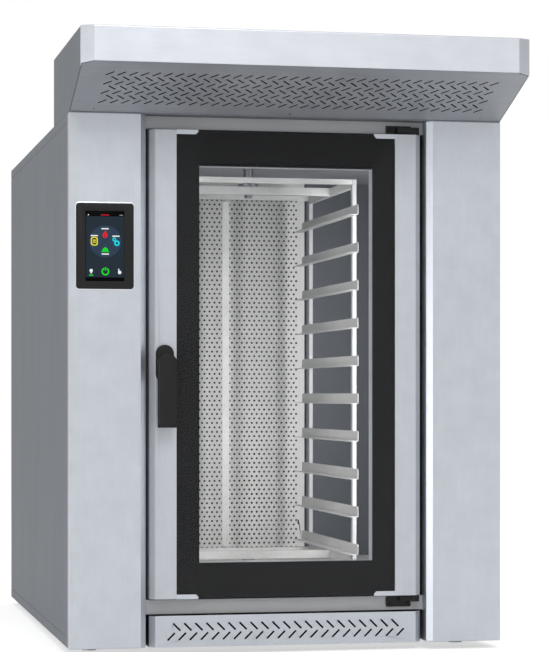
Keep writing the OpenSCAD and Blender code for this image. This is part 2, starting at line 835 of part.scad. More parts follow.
module hood_shell() {
    color(dark_steel) placed() {
        intersection() {
            hood_ring();
            above_slant(hood_wrap + hood_corner_d - hood_reach, hood_back + eps);
        }
        difference() {
            translate([0, 0, hood_top_z - sheet_t]) linear_extrude(sheet_t) polygon(hood_plan(sheet_t));
            rod_z(collar_r - duct_t, 0, collar_y, hood_top_z - 2 * sheet_t, hood_top_z + eps);
        }
        difference() {
            rod_z(collar_r, 0, collar_y, hood_top_z, hood_top_z + collar_h);
            rod_z(collar_r - duct_t, 0, collar_y, hood_top_z - eps, hood_top_z + collar_h + eps);
        }
    }
}

module hood_fascia() {
    color([0.84, 0.86, 0.89]) placed() intersection() {
        hood_ring();
        above_slant(-hood_reach - eps, hood_wrap + hood_corner_d - hood_reach);
    }
}

// Plane of the slanted underside: x stays, y runs up the slant, z points down and out
module hood_plane() {
    translate([0, 0, body_h]) rotate([180 - hood_a, 0, 0]) children();
}

module hood_intake_panel() {
    plain_side = 68;                // from the body's sides to the middle of the outermost slots
    x = body_x - sheet_t - touch;
    corner = (hood_reach - hood_corner_d) / cos(hood_a) - sheet_t;
    front = (hood_reach - sheet_t - touch) / cos(hood_a);
    columns = floor(2 * (body_x - plain_side) / slot_pitch) + 1;
    color([0.55, 0.56, 0.58]) placed() hood_plane() translate([0, 0, -sheet_t])
        linear_extrude(sheet_t) difference() {
            polygon([[-x, 0], [x, 0], [x, corner], [x - hood_corner_w, front],
                [hood_corner_w - x, front], [-x, corner]]);
            for (j = [0 : slot_rows - 1])
                translate([0, slot_row_start + j * slot_row_gap])
                    slot_row(columns - j % 2, j % 2 == 0 ? 45 : -45);
        }
}

extractor_rise = 78;                // wheel, above the roof
extractor_z = body_h + extractor_rise;
extractor_shaft_r = 8;
extractor_shaft_l = 16;             // inside the wheel's hub
module extractor_motor() {
    motor_r = 45;
    motor_gap = 10;                 // under the wheel
    motor_top = extractor_z - motor_gap;
    color("dimgray") placed() {
        rod_z(motor_r, 0, collar_y, body_h, motor_top);
        rod_z(extractor_shaft_r, 0, collar_y, motor_top - eps, extractor_z + extractor_shaft_l);
    }
}

module extractor_wheel() {
    wheel_gap = 8;                  // inside the duct collar's radius
    wheel_r = collar_r - wheel_gap;
    blades = 12;
    blade_size = [24, 2, 48];
    blade_inset = 4;                // inside the disc's rim
    hub_wall = 8;
    hub_r = extractor_shaft_r + hub_wall;
    hub_h = 30;
    color("silver") placed() translate([0, collar_y, extractor_z]) difference() {
        union() {
            cylinder(r = wheel_r, h = sheet_t);
            cylinder(r = hub_r, h = hub_h);
            for (i = [0 : blades - 1]) rotate(i * 360 / blades)
                translate([wheel_r - blade_inset - blade_size.x, -blade_size.y / 2, sheet_t / 2])
                    cube(blade_size);
        }
        translate([0, 0, -eps]) cylinder(r = extractor_shaft_r + run, h = extractor_shaft_l + 2 * eps);
    }
}

vent_above = 50;                    // pipe, above the damper
damper_shaft_r = 3;
damper_shaft_l = 19;                // inside the actuator
module steam_vent() {
    actuator_l = 35;
    actuator_w = 36;
    actuator_h = 50;
    actuator_x = vent_x + vent_r - eps;
    color("silver") placed() difference() {
        union() {
            rod_z(vent_r, vent_x, vent_y, ceiling_z + cavity_t, damper_z + vent_above);
            block([actuator_x, vent_y - actuator_w / 2, damper_z - actuator_h / 2],
                [actuator_x + actuator_l, vent_y + actuator_w / 2, damper_z + actuator_h / 2]);
        }
        rod_z(vent_r - duct_t, vent_x, vent_y, ceiling_z, damper_z + vent_above + eps);
        rod_x(damper_shaft_r + run, vent_y, damper_z, vent_x - vent_r - eps,
            vent_x + vent_r + damper_shaft_l + eps);
    }
}

module vent_damper() {
    flap_t = 2;
    flap_gap = 0.6;                 // round the flap, inside the pipe
    shaft_out = 4;                  // on the side away from the actuator
    color("gray") placed() {
        rod_z(vent_r - duct_t - flap_gap, vent_x, vent_y, damper_z - flap_t / 2, damper_z + flap_t / 2);
        rod_x(damper_shaft_r, vent_y, damper_z, vent_x - vent_r - shaft_out,
            vent_x + vent_r + damper_shaft_l);
    }
}

// ---- Rack and its drive ----

shaft_collar_r = rack_shaft_r + 12;
module rack_gearmotor() {
    collar_top = body_h + gearbox_h + 12;
    motor_z = body_h + gearbox_h / 2;
    half = gearbox_w / 2;
    color("dimgray") placed() difference() {
        union() {
            block([-half, rack_y - half, body_h], [half, rack_y + half, body_h + gearbox_h]);
            rod_z(shaft_collar_r, 0, rack_y, body_h + gearbox_h - eps, collar_top);
            rod_y(rack_motor_r, 0, motor_z, rack_y + half - eps, rack_y + half + rack_motor_l);
        }
        rod_z(rack_shaft_r + run, 0, rack_y, body_h - eps, collar_top + eps);
    }
}

module drive_cover() {
    slots = 7;
    slot_h = 60;
    slot_t = 5;
    slot_gap = 22;
    slot_start = 60;                // behind the rack's axis
    color(dark_steel) placed() difference() {
        block([-cover_x, rack_y - cover_front, body_h], [cover_x, rack_y + cover_rear, body_h + cover_h]);
        block([-cover_x + sheet_t, rack_y - cover_front + sheet_t, body_h - eps],
            [cover_x - sheet_t, rack_y + cover_rear - sheet_t, body_h + cover_h - sheet_t]);
        for (side = [-1, 1], i = [0 : slots - 1])
            translate([side * cover_x, rack_y + slot_start + i * slot_gap, body_h + cover_h / 2])
                cube([3 * sheet_t, slot_t, slot_h], center = true);
    }
}

// Bearing bush of the rack's shaft, through the ceiling, its insulation and the roof
module rack_bush() {
    flange_t = 4;
    flange_r = bush_r + 14.5;
    color("darkgoldenrod") placed() difference() {
        union() {
            rod_z(bush_r - run, 0, rack_y, ceiling_z - flange_t, body_h);
            rod_z(flange_r, 0, rack_y, ceiling_z - flange_t, ceiling_z);
        }
        rod_z(rack_shaft_r + run, 0, rack_y, ceiling_z - flange_t - eps, body_h + eps);
    }
}

// Its flange lies on the rack's top frame, and a stud with a nut holds the frame up against it
stud_r = 6;
nut_r = 10;
nut_h = 8;
nut_z = rack_top_z - side_bar_h - nut_h;
module rack_shaft() {
    flange_t = 6;
    color("silver") placed() {
        rod_z(shaft_collar_r, 0, rack_y, rack_top_z, rack_top_z + flange_t);
        rod_z(rack_shaft_r, 0, rack_y, rack_top_z, body_h + gearbox_h);
        rod_z(stud_r, 0, rack_y, nut_z + eps, rack_top_z);
        translate([0, rack_y, nut_z]) cylinder(r = nut_r, h = nut_h, $fn = 6);
    }
}

module rack_posts() {
    color(inner_steel) placed() for (y = [-post_y, post_y])
        pair([post_x, rack_y + y - post_d / 2, rack_z],
            [post_x + post_w, rack_y + y + post_d / 2, rack_top_z]);
}

// Side bars, front and rear bars and a middle channel, between z and z + side_bar_h
module rack_frame(z, cross_z) {
    reach = post_y - post_d / 2;
    pair([post_x, rack_y - reach, z], [post_x + post_w, rack_y + reach, z + side_bar_h]);
    block([-post_x, rack_y - channel_w / 2, z], [post_x, rack_y + channel_w / 2, z + side_bar_h]);
    for (y = [-post_y, post_y])
        block([-post_x, rack_y + y - post_d / 2, cross_z],
            [post_x, rack_y + y + post_d / 2, cross_z + cross_bar_h]);
}

module rack_top_frame() {
    color(inner_steel) placed() difference() {
        rack_frame(rack_top_z - side_bar_h, rack_top_z - cross_bar_h);
        rod_z(stud_r + run, 0, rack_y, rack_top_z - side_bar_h - eps, rack_top_z + eps);
    }
}

module rack_bottom_frame() {
    color(inner_steel) placed() difference() {
        rack_frame(rack_z, rack_z);
        rod_z(floor_pin_r + run, 0, rack_y, rack_z - eps, rack_z + side_bar_h + eps);
    }
}

module tray_rails() {
    profile = [[web_x - rail_ledge + rail_t, 0], [post_x, 0], [post_x, rail_h], [web_x, rail_h],
        [web_x, rail_t], [web_x - rail_ledge + rail_t, rail_t]];
    color(inner_steel) placed() for (i = [0 : levels - 1], side = [0, 1])
        translate([0, rack_y + rail_l / 2, first_ledge_z + i * level_pitch]) mirror([side, 0, 0])
            rotate([90, 0, 0]) linear_extrude(rail_l) polygon(profile);
}

// Upright bar behind the trays, held by an arm at each end
module tray_stop() {
    arm_x = stop_bar_w / 2 - 2;
    bar_y = rack_y + rail_l / 2 + touch;
    arm_y = rack_y + post_y + post_d / 2;
    color(inner_steel) placed() {
        block([-stop_bar_w / 2, bar_y, rack_z], [stop_bar_w / 2, bar_y + stop_bar_t, rack_top_z]);
        for (z = [rack_z, rack_top_z - cross_bar_h])
            block([-arm_x, arm_y, z], [arm_x, bar_y + eps, z + cross_bar_h]);
    }
}

// Pin that the rack turns on, with a boss and a foot on the cavity floor
pivot_boss_r = floor_pin_r + 8;
module floor_pivot() {
    foot_t = 5;
    pin_short = 2;                  // pin's end, below the top of the channel that it is in
    color("silver") placed() {
        rod_z(pivot_boss_r + 14, 0, rack_y, floor_z, floor_z + foot_t);
        rod_z(pivot_boss_r, 0, rack_y, floor_z, rack_z - touch);
        rod_z(floor_pin_r, 0, rack_y, floor_z, rack_z + side_bar_h - pin_short);
    }
}

// ---- Fans, heating and lamps ----

motor_bore_l = 40;                  // depth of a fan motor's bore
motor_y = service_y + sheet_t;
module fan_motors() {
    flange_x = fan_motor_r + 8;
    flange_t = 6;
    color("dimgray") placed() for (z = fan_zs) difference() {
        union() {
            block([-flange_x, motor_y, z - flange_x], [flange_x, motor_y + flange_t, z + flange_x]);
            rod_y(fan_motor_r, 0, z, motor_y + flange_t - eps, motor_y + fan_motor_l);
        }
        rod_y(fan_shaft_r + run, 0, z, motor_y - eps, motor_y + motor_bore_l);
    }
}

// Wheel with backward-leaning blades, drawn along its axis with the inlet at z = 0
module fan_wheel(z) {
    inlet_r = fan_r * 0.66;
    disc_t = 2;
    blade_l = (fan_r - inlet_r) * 0.95;
    blade_t = 2;
    blade_a = 32;                   // lean of the blades
    blade_in = 2;                   // from the middle between the inlet and the rim, inwards
    hub_l = 45;
    shaft_nose = 10;                // shaft, in front of the hub
    bore_end = 2;                   // free end of the motor's bore
    shaft_start = fan_w - hub_l - shaft_nose;
    shaft_end = motor_y + motor_bore_l - bore_end - fan_y;
    color("silver") placed() translate([0, fan_y, z]) rotate([-90, 0, 0]) {
        difference() {
            cylinder(r = fan_r, h = disc_t);
            translate([0, 0, -eps]) cylinder(r = inlet_r, h = disc_t + 2 * eps);
        }
        for (i = [0 : fan_blades - 1]) rotate(i * 360 / fan_blades)
            translate([(fan_r + inlet_r) / 2 - blade_in, 0, disc_t / 2]) rotate(blade_a)
                translate([-blade_l / 2, -blade_t / 2, 0]) cube([blade_l, blade_t, fan_w - disc_t]);
        translate([0, 0, fan_w - disc_t]) cylinder(r = fan_r, h = disc_t);
        translate([0, 0, fan_w - hub_l]) cylinder(r = fan_shaft_r + 12, h = hub_l - eps);
        translate([0, 0, shaft_start]) cylinder(r = fan_shaft_r, h = shaft_end - shaft_start);
    }
}

module upper_fan_wheel() {
    fan_wheel(fan_zs[1]);
}

module lower_fan_wheel() {
    fan_wheel(fan_zs[0]);
}

// Three rings of heating tube round each fan, held by combs on the back wall
module heating_elements() {
    ring_pitch = 30;
    first_ring = 15;                // behind the wheel's inlet
    comb_t = 3;
    comb_w = 20;
    comb_start = 5;
    color("saddlebrown") placed() for (z = fan_zs) translate([0, fan_y, z]) rotate([-90, 0, 0]) {
        for (i = [0 : 2]) translate([0, 0, first_ring + i * ring_pitch])
            rotate_extrude() translate([ring_r, 0]) circle(r = heater_r);
        for (a = [45 : 90 : 315]) rotate(a)
            translate([ring_r + heater_r + touch, -comb_w / 2, comb_start])
                cube([comb_t, comb_w, back_wall_y - fan_y - comb_start]);
    }
}

// Round lamps on the side walls, just behind the door opening
module cavity_lamps() {
    rim_r = 42;
    rim_t = 6;
    lens_r = 32;
    lens_t = 14;
    inset_y = 110;                  // from the front of the cavity
    inset_z = 130;                  // from its floor and ceiling
    y = cavity_y + inset_y;
    color("whitesmoke") placed() for (side = [-1, 1], z = [floor_z + inset_z, ceiling_z - inset_z])
        mirror([side > 0 ? 0 : 1, 0, 0]) {
            rod_x(rim_r, y, z, cavity_x - rim_t, cavity_x);
            rod_x(lens_r, y, z, cavity_x - lens_t, cavity_x);
        }
}

// ---- Connections at the back: x, z and radius of cable gland, water inlet and drain ----

gland_r = 12;
gland_bore_r = 7;
water_r = 13.2;
drain_r = 20;
drain_z = 40;
gland_side = 120;                   // from the left side of the body
water_side = 200;                   // from the left side too
drain_side = 160;                   // from the right side
supply_z = 250;                     // height of gland and water inlet
function fittings() = [[gland_side - body_x, supply_z, gland_r], [water_side - body_x, supply_z, water_r],
    [body_x - drain_side, drain_z, drain_r]];

module rear_fittings() {
    wall = 3;
    flange_lap = 6;
    flange_t = 5;
    tail_l = 20;                    // inside the back panel
    tail_y = body_d - tail_l;
    color("dimgray") placed() for (i = [0 : 2]) {
        f = fittings()[i];
        bore = i == 0 ? gland_bore_r : f[2] - wall;
        difference() {
            union() {
                rod_y(f[2] + flange_lap, f[0], f[1], body_d, body_d + flange_t);
                rod_y(f[2], f[0], f[1], tail_y, body_d + fitting_l);
            }
            rod_y(bore, f[0], f[1], tail_y - eps, body_d + fitting_l + eps);
        }
    }
}

// ---- Door ----

// Folded stile of the right side, open towards the glass and solid at both ends
module stile() {
    plug_wall = 4;                  // beyond the hinge pin's end
    plug_h = hinge_pin_l + plug_wall;
    outline = [[glass_x, door_setback], [door_x - bevel_w, door_setback], [door_x, hinge_y],
        [door_x, frame_back], [glass_x, frame_back]];
    difference() {
        translate([0, 0, door_z]) linear_extrude(door_top_z - door_z) polygon(outline);
        block([glass_x - eps, door_setback + stile_t, door_z + plug_h],
            [door_x - bevel_w - 1, frame_back - stile_t, door_top_z - plug_h]);
    }
}

module left_stile() {
    color(steel) placed() difference() {
        mirror([1, 0, 0]) stile();
        rod_y(spindle_r + run, handle_x, handle_z, door_setback - eps, frame_back + eps);
    }
}

module right_stile() {
    color(steel) placed() difference() {
        stile();
        rod_z(hinge_pin_r + run, hinge_x, hinge_y, door_z - eps, door_z + hinge_pin_l + touch);
        rod_z(hinge_pin_r + run, hinge_x, hinge_y, door_top_z - hinge_pin_l - touch, door_top_z + eps);
    }
}

outer_glass_y = door_setback + glass_setback;
border_y = outer_glass_y + glass_t;
spacer_y = border_y + border_t;
inner_glass_y = frame_back - glass_t;
clip_under = 1.5;

// Channels between the stiles, open to the glass
module door_rails() {
    rail_z = [[door_z + clip_under, window_z - spacer_t], [window_top_z + spacer_t, door_top_z - clip_under]];
    color(dark_steel) placed() for (z = rail_z) difference() {
        block([-glass_x, spacer_y, z[0]], [glass_x, inner_glass_y, z[1]]);
        block([-glass_x - eps, spacer_y - eps, z[0] + stile_t],
            [glass_x + eps, inner_glass_y - stile_t, z[1] - stile_t]);
    }
}

module outer_glass() {
    color(clear_glass) placed() block([-glass_x, outer_glass_y, door_z + clip_under],
        [glass_x, border_y, door_top_z - clip_under]);
}

module glass_border() {
    color(black) placed() frame_xz(glass_x, door_z + clip_under, door_top_z - clip_under,
        window_x, window_z, window_top_z, border_y, spacer_y);
}

module window_spacer() {
    color("gainsboro") placed() frame_xz(window_x + spacer_t, window_z - spacer_t,
        window_top_z + spacer_t, window_x, window_z, window_top_z, spacer_y, inner_glass_y);
}

module inner_glass() {
    lap = 23;                       // beyond the window at each side
    color(clear_glass) placed() block([-window_x - lap, inner_glass_y, window_z - lap],
        [window_x + lap, frame_back, window_top_z + lap]);
}

module door_liner() {
    edge = 4;                       // beyond the seal
    back = 12;                      // behind the window's edge
    reach = seal_in + seal_w + edge;
    color(inner_steel) placed() frame_xz(opening_w / 2 + reach, opening_z - reach, opening_top_z + reach,
        window_x + back, window_z - back, window_top_z + back, frame_back, door_back);
}

// Steel clips that hold the outer glass at its four corners
module glass_clips() {
    corner = 8;                     // side of the square that cuts a clip's corner off
    under_d = 10;                   // how far a clip reaches back under the border
    color(steel) placed() for (side = [0, 1], end = [0, 1])
        translate([0, 0, end * (door_z + door_top_z)]) mirror([side, 0, 0]) mirror([0, 0, end]) {
            difference() {
                block([glass_x - clip_w, door_setback, door_z], [glass_x, outer_glass_y, door_z + clip_h]);
                translate([glass_x - clip_w, 0, door_z + clip_h]) rotate([-90, 45, 0])
                    translate([0, 0, door_setback - eps]) linear_extrude(glass_setback + 2 * eps)
                        square(corner, center = true);
            }
            block([glass_x - clip_w, outer_glass_y - eps, door_z],
                [glass_x, spacer_y + under_d, door_z + clip_under]);
        }
}

// ---- Handle ----

module handle_plate() {
    plate_w = lever_w - 1;
    color(black) placed() difference() {
        translate([handle_x, 0, handle_z]) stand_up(door_setback - handle_plate_t, handle_plate_t) {
            square([plate_w, handle_plate_h - plate_w], center = true);
            for (i = [-1, 1]) translate([0, i * (handle_plate_h - plate_w) / 2]) circle(d = plate_w);
        }
        rod_y(spindle_r + run, handle_x, handle_z, 0, door_setback + eps);
    }
}

module handle_lever() {
    lever_r = lever_w / 2;
    color(black) placed() difference() {
        union() {
            translate([handle_x, 0, handle_z]) stand_up(lever_front, lever_t) {
                circle(r = lever_r);
                translate([-lever_r, -lever_l]) square([lever_w, lever_l]);
            }
            rod_y(lever_r - 1, handle_x, handle_z, lever_y - eps, door_setback - handle_plate_t - touch);
        }
        rod_y(spindle_r + run, handle_x, handle_z, lever_y - spindle_depth, door_setback);
    }
}

// Spindle with the latch cam at its inner end
module handle_spindle() {
    cam_l = 26;
    cam_h = 12;
    cam_wall = 4;                   // round the spindle
    cam_y = frame_back + touch;
    color("silver") placed() {
        rod_y(spindle_r, handle_x, handle_z, lever_y - spindle_depth + touch, spindle_end);
        rod_y(spindle_r + cam_wall, handle_x, handle_z, cam_y, spindle_end);
        block([handle_x - cam_l, cam_y, handle_z - cam_h / 2], [handle_x, spindle_end, handle_z + cam_h / 2]);
    }
}

base_box();
levelling_feet();
side_panels();
back_panel();
top_panel();
left_pillar();
right_pillar();
front_bulkhead();
crossmembers();
vent_grille();
cavity_floor();
cavity_ceiling();
cavity_side_walls();
cavity_back_wall();
diffuser_panel();
diffuser_wings();
insulation();
rear_bulkhead();
door_seal();
hinge_brackets();
latch_keeper();
screws();
screen_bezel();
screen_display();
screen_console();
hood_shell();
hood_fascia();
hood_intake_panel();
extractor_motor();
extractor_wheel();
steam_vent();
vent_damper();
rack_gearmotor();
drive_cover();
rack_bush();
rack_shaft();
rack_posts();
rack_top_frame();
rack_bottom_frame();
tray_rails();
tray_stop();
floor_pivot();
fan_motors();
upper_fan_wheel();
lower_fan_wheel();
heating_elements();
cavity_lamps();
rear_fittings();
left_stile();
right_stile();
door_rails();
outer_glass();
glass_border();
window_spacer();
inner_glass();
door_liner();
glass_clips();
handle_plate();
handle_lever();
handle_spindle();
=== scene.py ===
import json
import math

import bpy
from mathutils import Matrix, Vector


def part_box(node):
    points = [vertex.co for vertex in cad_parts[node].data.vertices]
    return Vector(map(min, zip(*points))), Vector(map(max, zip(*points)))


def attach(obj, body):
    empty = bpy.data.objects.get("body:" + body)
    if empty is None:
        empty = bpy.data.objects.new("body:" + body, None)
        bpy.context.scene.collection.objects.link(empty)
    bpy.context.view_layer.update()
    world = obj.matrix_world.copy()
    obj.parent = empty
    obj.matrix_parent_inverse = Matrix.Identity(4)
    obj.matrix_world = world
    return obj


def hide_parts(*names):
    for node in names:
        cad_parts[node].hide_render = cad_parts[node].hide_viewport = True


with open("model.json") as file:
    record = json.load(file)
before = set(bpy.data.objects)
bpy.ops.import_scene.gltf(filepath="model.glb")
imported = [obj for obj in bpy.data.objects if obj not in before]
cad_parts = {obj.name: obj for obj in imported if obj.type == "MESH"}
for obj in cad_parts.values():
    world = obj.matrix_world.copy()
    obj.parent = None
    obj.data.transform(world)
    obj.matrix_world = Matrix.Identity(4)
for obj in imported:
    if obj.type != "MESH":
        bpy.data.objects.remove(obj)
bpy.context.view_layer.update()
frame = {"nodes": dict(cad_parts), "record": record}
print("oven: frame loaded,", len(frame["nodes"]), "nodes")

quarterTurn = math.pi / 2
mirrorX = Matrix.Scale(-1, 4, (1, 0, 0))
mergeGap = 0.00001                              # points nearer than this become one, in metres

camera = {"place": (-1.0999, -5.7922, 0.5817), "turn": 11.751, "lens": 128.98, "shift": (-0.0083, 0.1083),
          "clipEnd": 100}

lens = bpy.data.cameras.new("camera")
lens.lens = camera["lens"]
lens.shift_x, lens.shift_y = camera["shift"]
lens.clip_end = camera["clipEnd"]
cameraObject = bpy.data.objects.new("camera", lens)
cameraObject.location = camera["place"]
cameraObject.rotation_euler = (quarterTurn, 0, -math.radians(camera["turn"]))
bpy.context.scene.collection.objects.link(cameraObject)
bpy.context.scene.camera = cameraObject
bpy.context.scene.view_settings.view_transform = "Standard"

studio = {"background": 1.0, "ambient": 0.55, "floorTone": 0.8, "floorGlow": 0.57, "floorSize": 60}
cards = {                                       # only reflections see them: place, aimed at, size, tone
    "rightCard": ((3.6, -1.0, 1.1), (0.4, -0.8, 0.9), (4.6, 3.4), 0.6),
    "leftCard": ((-3.4, -1.5, 0.4), (0.3, -0.6, 0.5), (1.5, 1.1), 6.0),
    "hoodCard": ((-3.6, -1.2, 1.9), (-0.5, -0.8, 1.35), (3.6, 1.3), 0.45)}


def addNode(tree, kind, values=None, **settings):
    node = tree.nodes.new(kind)
    for key, value in settings.items():
        setattr(node, key, value)
    for socket, value in (values or {}).items():
        node.inputs[socket].default_value = value
    return node


def seenDirectly(tree):                         # 1 for rays that see the background, straight or mirrored
    path = addNode(tree, "ShaderNodeLightPath")
    either = addNode(tree, "ShaderNodeMath", operation="MAXIMUM")
    anyOf = addNode(tree, "ShaderNodeMath", operation="MAXIMUM")
    tree.links.new(path.outputs["Is Camera Ray"], either.inputs[0])
    tree.links.new(path.outputs["Is Glossy Ray"], either.inputs[1])
    tree.links.new(either.outputs[0], anyOf.inputs[0])
    tree.links.new(path.outputs["Is Transmission Ray"], anyOf.inputs[1])
    return anyOf.outputs[0]


def makeWorld():
    world = bpy.data.worlds.new("studio")
    bpy.context.scene.world = world
    world.use_nodes = True
    tree = world.node_tree
    tree.nodes.clear()
    dim = addNode(tree, "ShaderNodeBackground", {"Color": (1, 1, 1, 1), "Strength": studio["ambient"]})
    white = addNode(tree, "ShaderNodeBackground", {"Color": (1, 1, 1, 1), "Strength": studio["background"]})
    mix = addNode(tree, "ShaderNodeMixShader")
    output = addNode(tree, "ShaderNodeOutputWorld")
    tree.links.new(seenDirectly(tree), mix.inputs[0])
    tree.links.new(dim.outputs[0], mix.inputs[1])
    tree.links.new(white.outputs[0], mix.inputs[2])
    tree.links.new(mix.outputs[0], output.inputs[0])


def makeFloor():
    bpy.ops.object.select_all(action="DESELECT")
    bpy.ops.mesh.primitive_plane_add(size=studio["floorSize"])
    floor = bpy.context.object
    floor.name = "studioFloor"
    paper = bpy.data.materials.new("studioPaper")
    paper.use_nodes = True
    tree = paper.node_tree
    tree.nodes.clear()
    tone = studio["floorTone"]
    matt = addNode(tree, "ShaderNodeBsdfDiffuse", {"Color": (tone, tone, tone, 1)})
    glow = addNode(tree, "ShaderNodeEmission", {"Color": (1, 1, 1, 1)})
    share = addNode(tree, "ShaderNodeMath", {1: studio["floorGlow"]}, operation="MULTIPLY")
    both = addNode(tree, "ShaderNodeAddShader")
    output = addNode(tree, "ShaderNodeOutputMaterial")
    tree.links.new(seenDirectly(tree), share.inputs[0])
    tree.links.new(share.outputs[0], glow.inputs["Strength"])
    tree.links.new(matt.outputs[0], both.inputs[0])
    tree.links.new(glow.outputs[0], both.inputs[1])
    tree.links.new(both.outputs[0], output.inputs[0])
    floor.data.materials.append(paper)


def aimed(place, aim):
    return (Vector(aim) - Vector(place)).to_track_quat("-Z", "Y").to_euler()


def makeCard(name, place, aim, size, tone):
    bpy.ops.object.select_all(action="DESELECT")
    bpy.ops.mesh.primitive_plane_add(size=1, location=place, rotation=aimed(place, aim))
    card = bpy.context.object
    card.name, card.scale = name, (size[0], size[1], 1)
    card.visible_camera = card.visible_diffuse = card.visible_shadow = card.visible_transmission = False
    paint = bpy.data.materials.new(name)
    paint.use_nodes = True
    tree = paint.node_tree
    tree.nodes.clear()
    glow = addNode(tree, "ShaderNodeEmission", {"Color": (tone, tone, tone, 1), "Strength": 1.0})
    output = addNode(tree, "ShaderNodeOutputMaterial")
    tree.links.new(glow.outputs[0], output.inputs[0])
    card.data.materials.append(paint)


lamps = {                                       # place, aimed at, width, height, watts
    "keyLamp": ((-0.4, -4.1, 3.8), (0, -0.4, 0.95), 2.0, 1.6, 60),
    "leftLamp": ((-4.2, -1.5, 0.4), (0.3, -0.6, 0.5), 1.8, 1.2, 26),
    "topLamp": ((0.2, 0.2, 4.2), (0, 0.2, 1.2), 3.0, 3.0, 36),
    "backLamp": ((1.8, 4.4, 2.2), (0, 0.6, 0.8), 2.6, 2.6, 34)}
cavityLamps = {"watts": 4.2, "width": 0.10, "inset": 0.09, "depth": 0.02, "margin": 0.06, "inwards": 0.35}


def addLamp(name, place, aim, width, height, watts):
    lamp = bpy.data.lights.new(name, "AREA")
    lamp.shape, lamp.size, lamp.size_y, lamp.energy = "RECTANGLE", width, height, watts
    holder = bpy.data.objects.new(name, lamp)
    holder.location = place
    holder.rotation_euler = aimed(place, aim)
    holder.visible_camera = False
    bpy.context.scene.collection.objects.link(holder)


makeWorld()
makeFloor()
for cardName, settings in cards.items():
    makeCard(cardName, *settings)
for lampName, settings in lamps.items():
    addLamp(lampName, *settings)
wallLow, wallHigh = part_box("cavity_side_walls")
for side in (-1, 1):                            # the oven's own light, a soft strip on each side of the door
    lampPlace = Vector((side * (wallHigh.x - cavityLamps["inset"]), wallLow.y + cavityLamps["depth"],
                        (wallLow.z + wallHigh.z) / 2))
    lampAim = lampPlace + Vector((-side * cavityLamps["inwards"], 1, 0))
    addLamp("cavityLamp", lampPlace, lampAim, cavityLamps["width"],
            wallHigh.z - wallLow.z - 2 * cavityLamps["margin"], cavityLamps["watts"])
print("oven: camera, studio and lamps")


# noise is given as its detail and roughness, and "uneven" is what a pattern adds to the surface's roughness
toneRamp = (0.32, 0.68)
brushed = {"clouds": (6, 0.62), "streaks": (3, 0.5), "depth": 0.000006, "uneven": (-0.03, 0.04)}
grained = {"grain": (3, 0.6), "grainTone": "e6e6e6", "patches": (4, 0.6), "patchSize": (7, 7, 7),
           "uneven": (-0.05, 0.06)}
smeared = {"smears": (4, 0.6), "smearSize": (5, 5, 3), "roughness": 0.03, "range": (0.02, 0.07)}
enamelled = {"patches": (3, 0.5), "patchSize": (3, 3, 2), "roughness": 0.16,
             "range": (0.12, 0.2), "gloss": 0.12}
display = {"dots": (1, 0.4), "dotSize": (900, 900, 900), "body": "020202", "roughness": 0.2,
           "range": (0.18, 0.26), "gloss": 0.06}
# the dark tone of the slot walls, painted shade in the slots
slotShade = {"tone": "101010", "from": 0.2, "to": 0.4}
lampGlow = {"colour": "fff6e4", "strength": 0.9}


def fromScreen(code):                           # a screen colour such as c5c9d1, as Blender's linear one
    parts = [int(code[i:i + 2], 16) / 255 for i in (0, 2, 4)]
    return [c / 12.92 if c <= 0.04045 else ((c + 0.055) / 1.055) ** 2.4 for c in parts] + [1.0]


def startMaterial(name, colour, roughness, metallic=0.0, **sockets):
    material = bpy.data.materials.new(name)
    material.use_nodes = True
    shader = material.node_tree.nodes["Principled BSDF"]
    shader.inputs["Base Color"].default_value = fromScreen(colour)
    shader.inputs["Roughness"].default_value = roughness
    shader.inputs["Metallic"].default_value = metallic
    for socket, value in sockets.items():
        shader.inputs[socket.replace("_", " ")].default_value = value
    return material, material.node_tree, shader


def addPattern(tree, stretch, detail, rough):   # noise with its own stretch, per metre
    place = addNode(tree, "ShaderNodeTexCoord")
    mapping = addNode(tree, "ShaderNodeMapping", {"Scale": stretch})
    noise = addNode(tree, "ShaderNodeTexNoise", {"Scale": 1.0, "Detail": detail, "Roughness": rough})
    tree.links.new(place.outputs["Object"], mapping.inputs["Vector"])
    tree.links.new(mapping.outputs["Vector"], noise.inputs["Vector"])
    return noise.outputs["Fac"]


def spread(tree, pattern, low, high, fromLow=0.3, fromHigh=0.7):
    node = addNode(tree, "ShaderNodeMapRange",
                   {"From Min": fromLow, "From Max": fromHigh, "To Min": low, "To Max": high})
    tree.links.new(pattern, node.inputs["Value"])
    return node.outputs["Result"]


def blendTones(tree, pattern, toneA, toneB):
    ramp = addNode(tree, "ShaderNodeValToRGB")
    ramp.color_ramp.elements[0].position, ramp.color_ramp.elements[1].position = toneRamp
    ramp.color_ramp.elements[0].color = fromScreen(toneA)
    ramp.color_ramp.elements[1].color = fromScreen(toneB)
    tree.links.new(pattern, ramp.inputs["Fac"])
    return ramp.outputs["Color"]


def multiplyTones(tree, first, second):
    mix = addNode(tree, "ShaderNodeMix", {"Factor": 1.0}, data_type="RGBA", blend_type="MULTIPLY")
    tree.links.new(first, mix.inputs["A"])
    tree.links.new(second, mix.inputs["B"])
    return mix.outputs["Result"]


def addBump(tree, shader, pattern, depth):      # depth in metres
    bump = addNode(tree, "ShaderNodeBump", {"Strength": 1.0, "Distance": depth})
    tree.links.new(pattern, bump.inputs["Height"])
    tree.links.new(bump.outputs["Normal"], shader.inputs["Normal"])


def addGlow(material, colour, strength=1.0):
    shader = material.node_tree.nodes["Principled BSDF"]
    shader.inputs["Emission Color"].default_value = fromScreen(colour)
    shader.inputs["Emission Strength"].default_value = strength
    return material


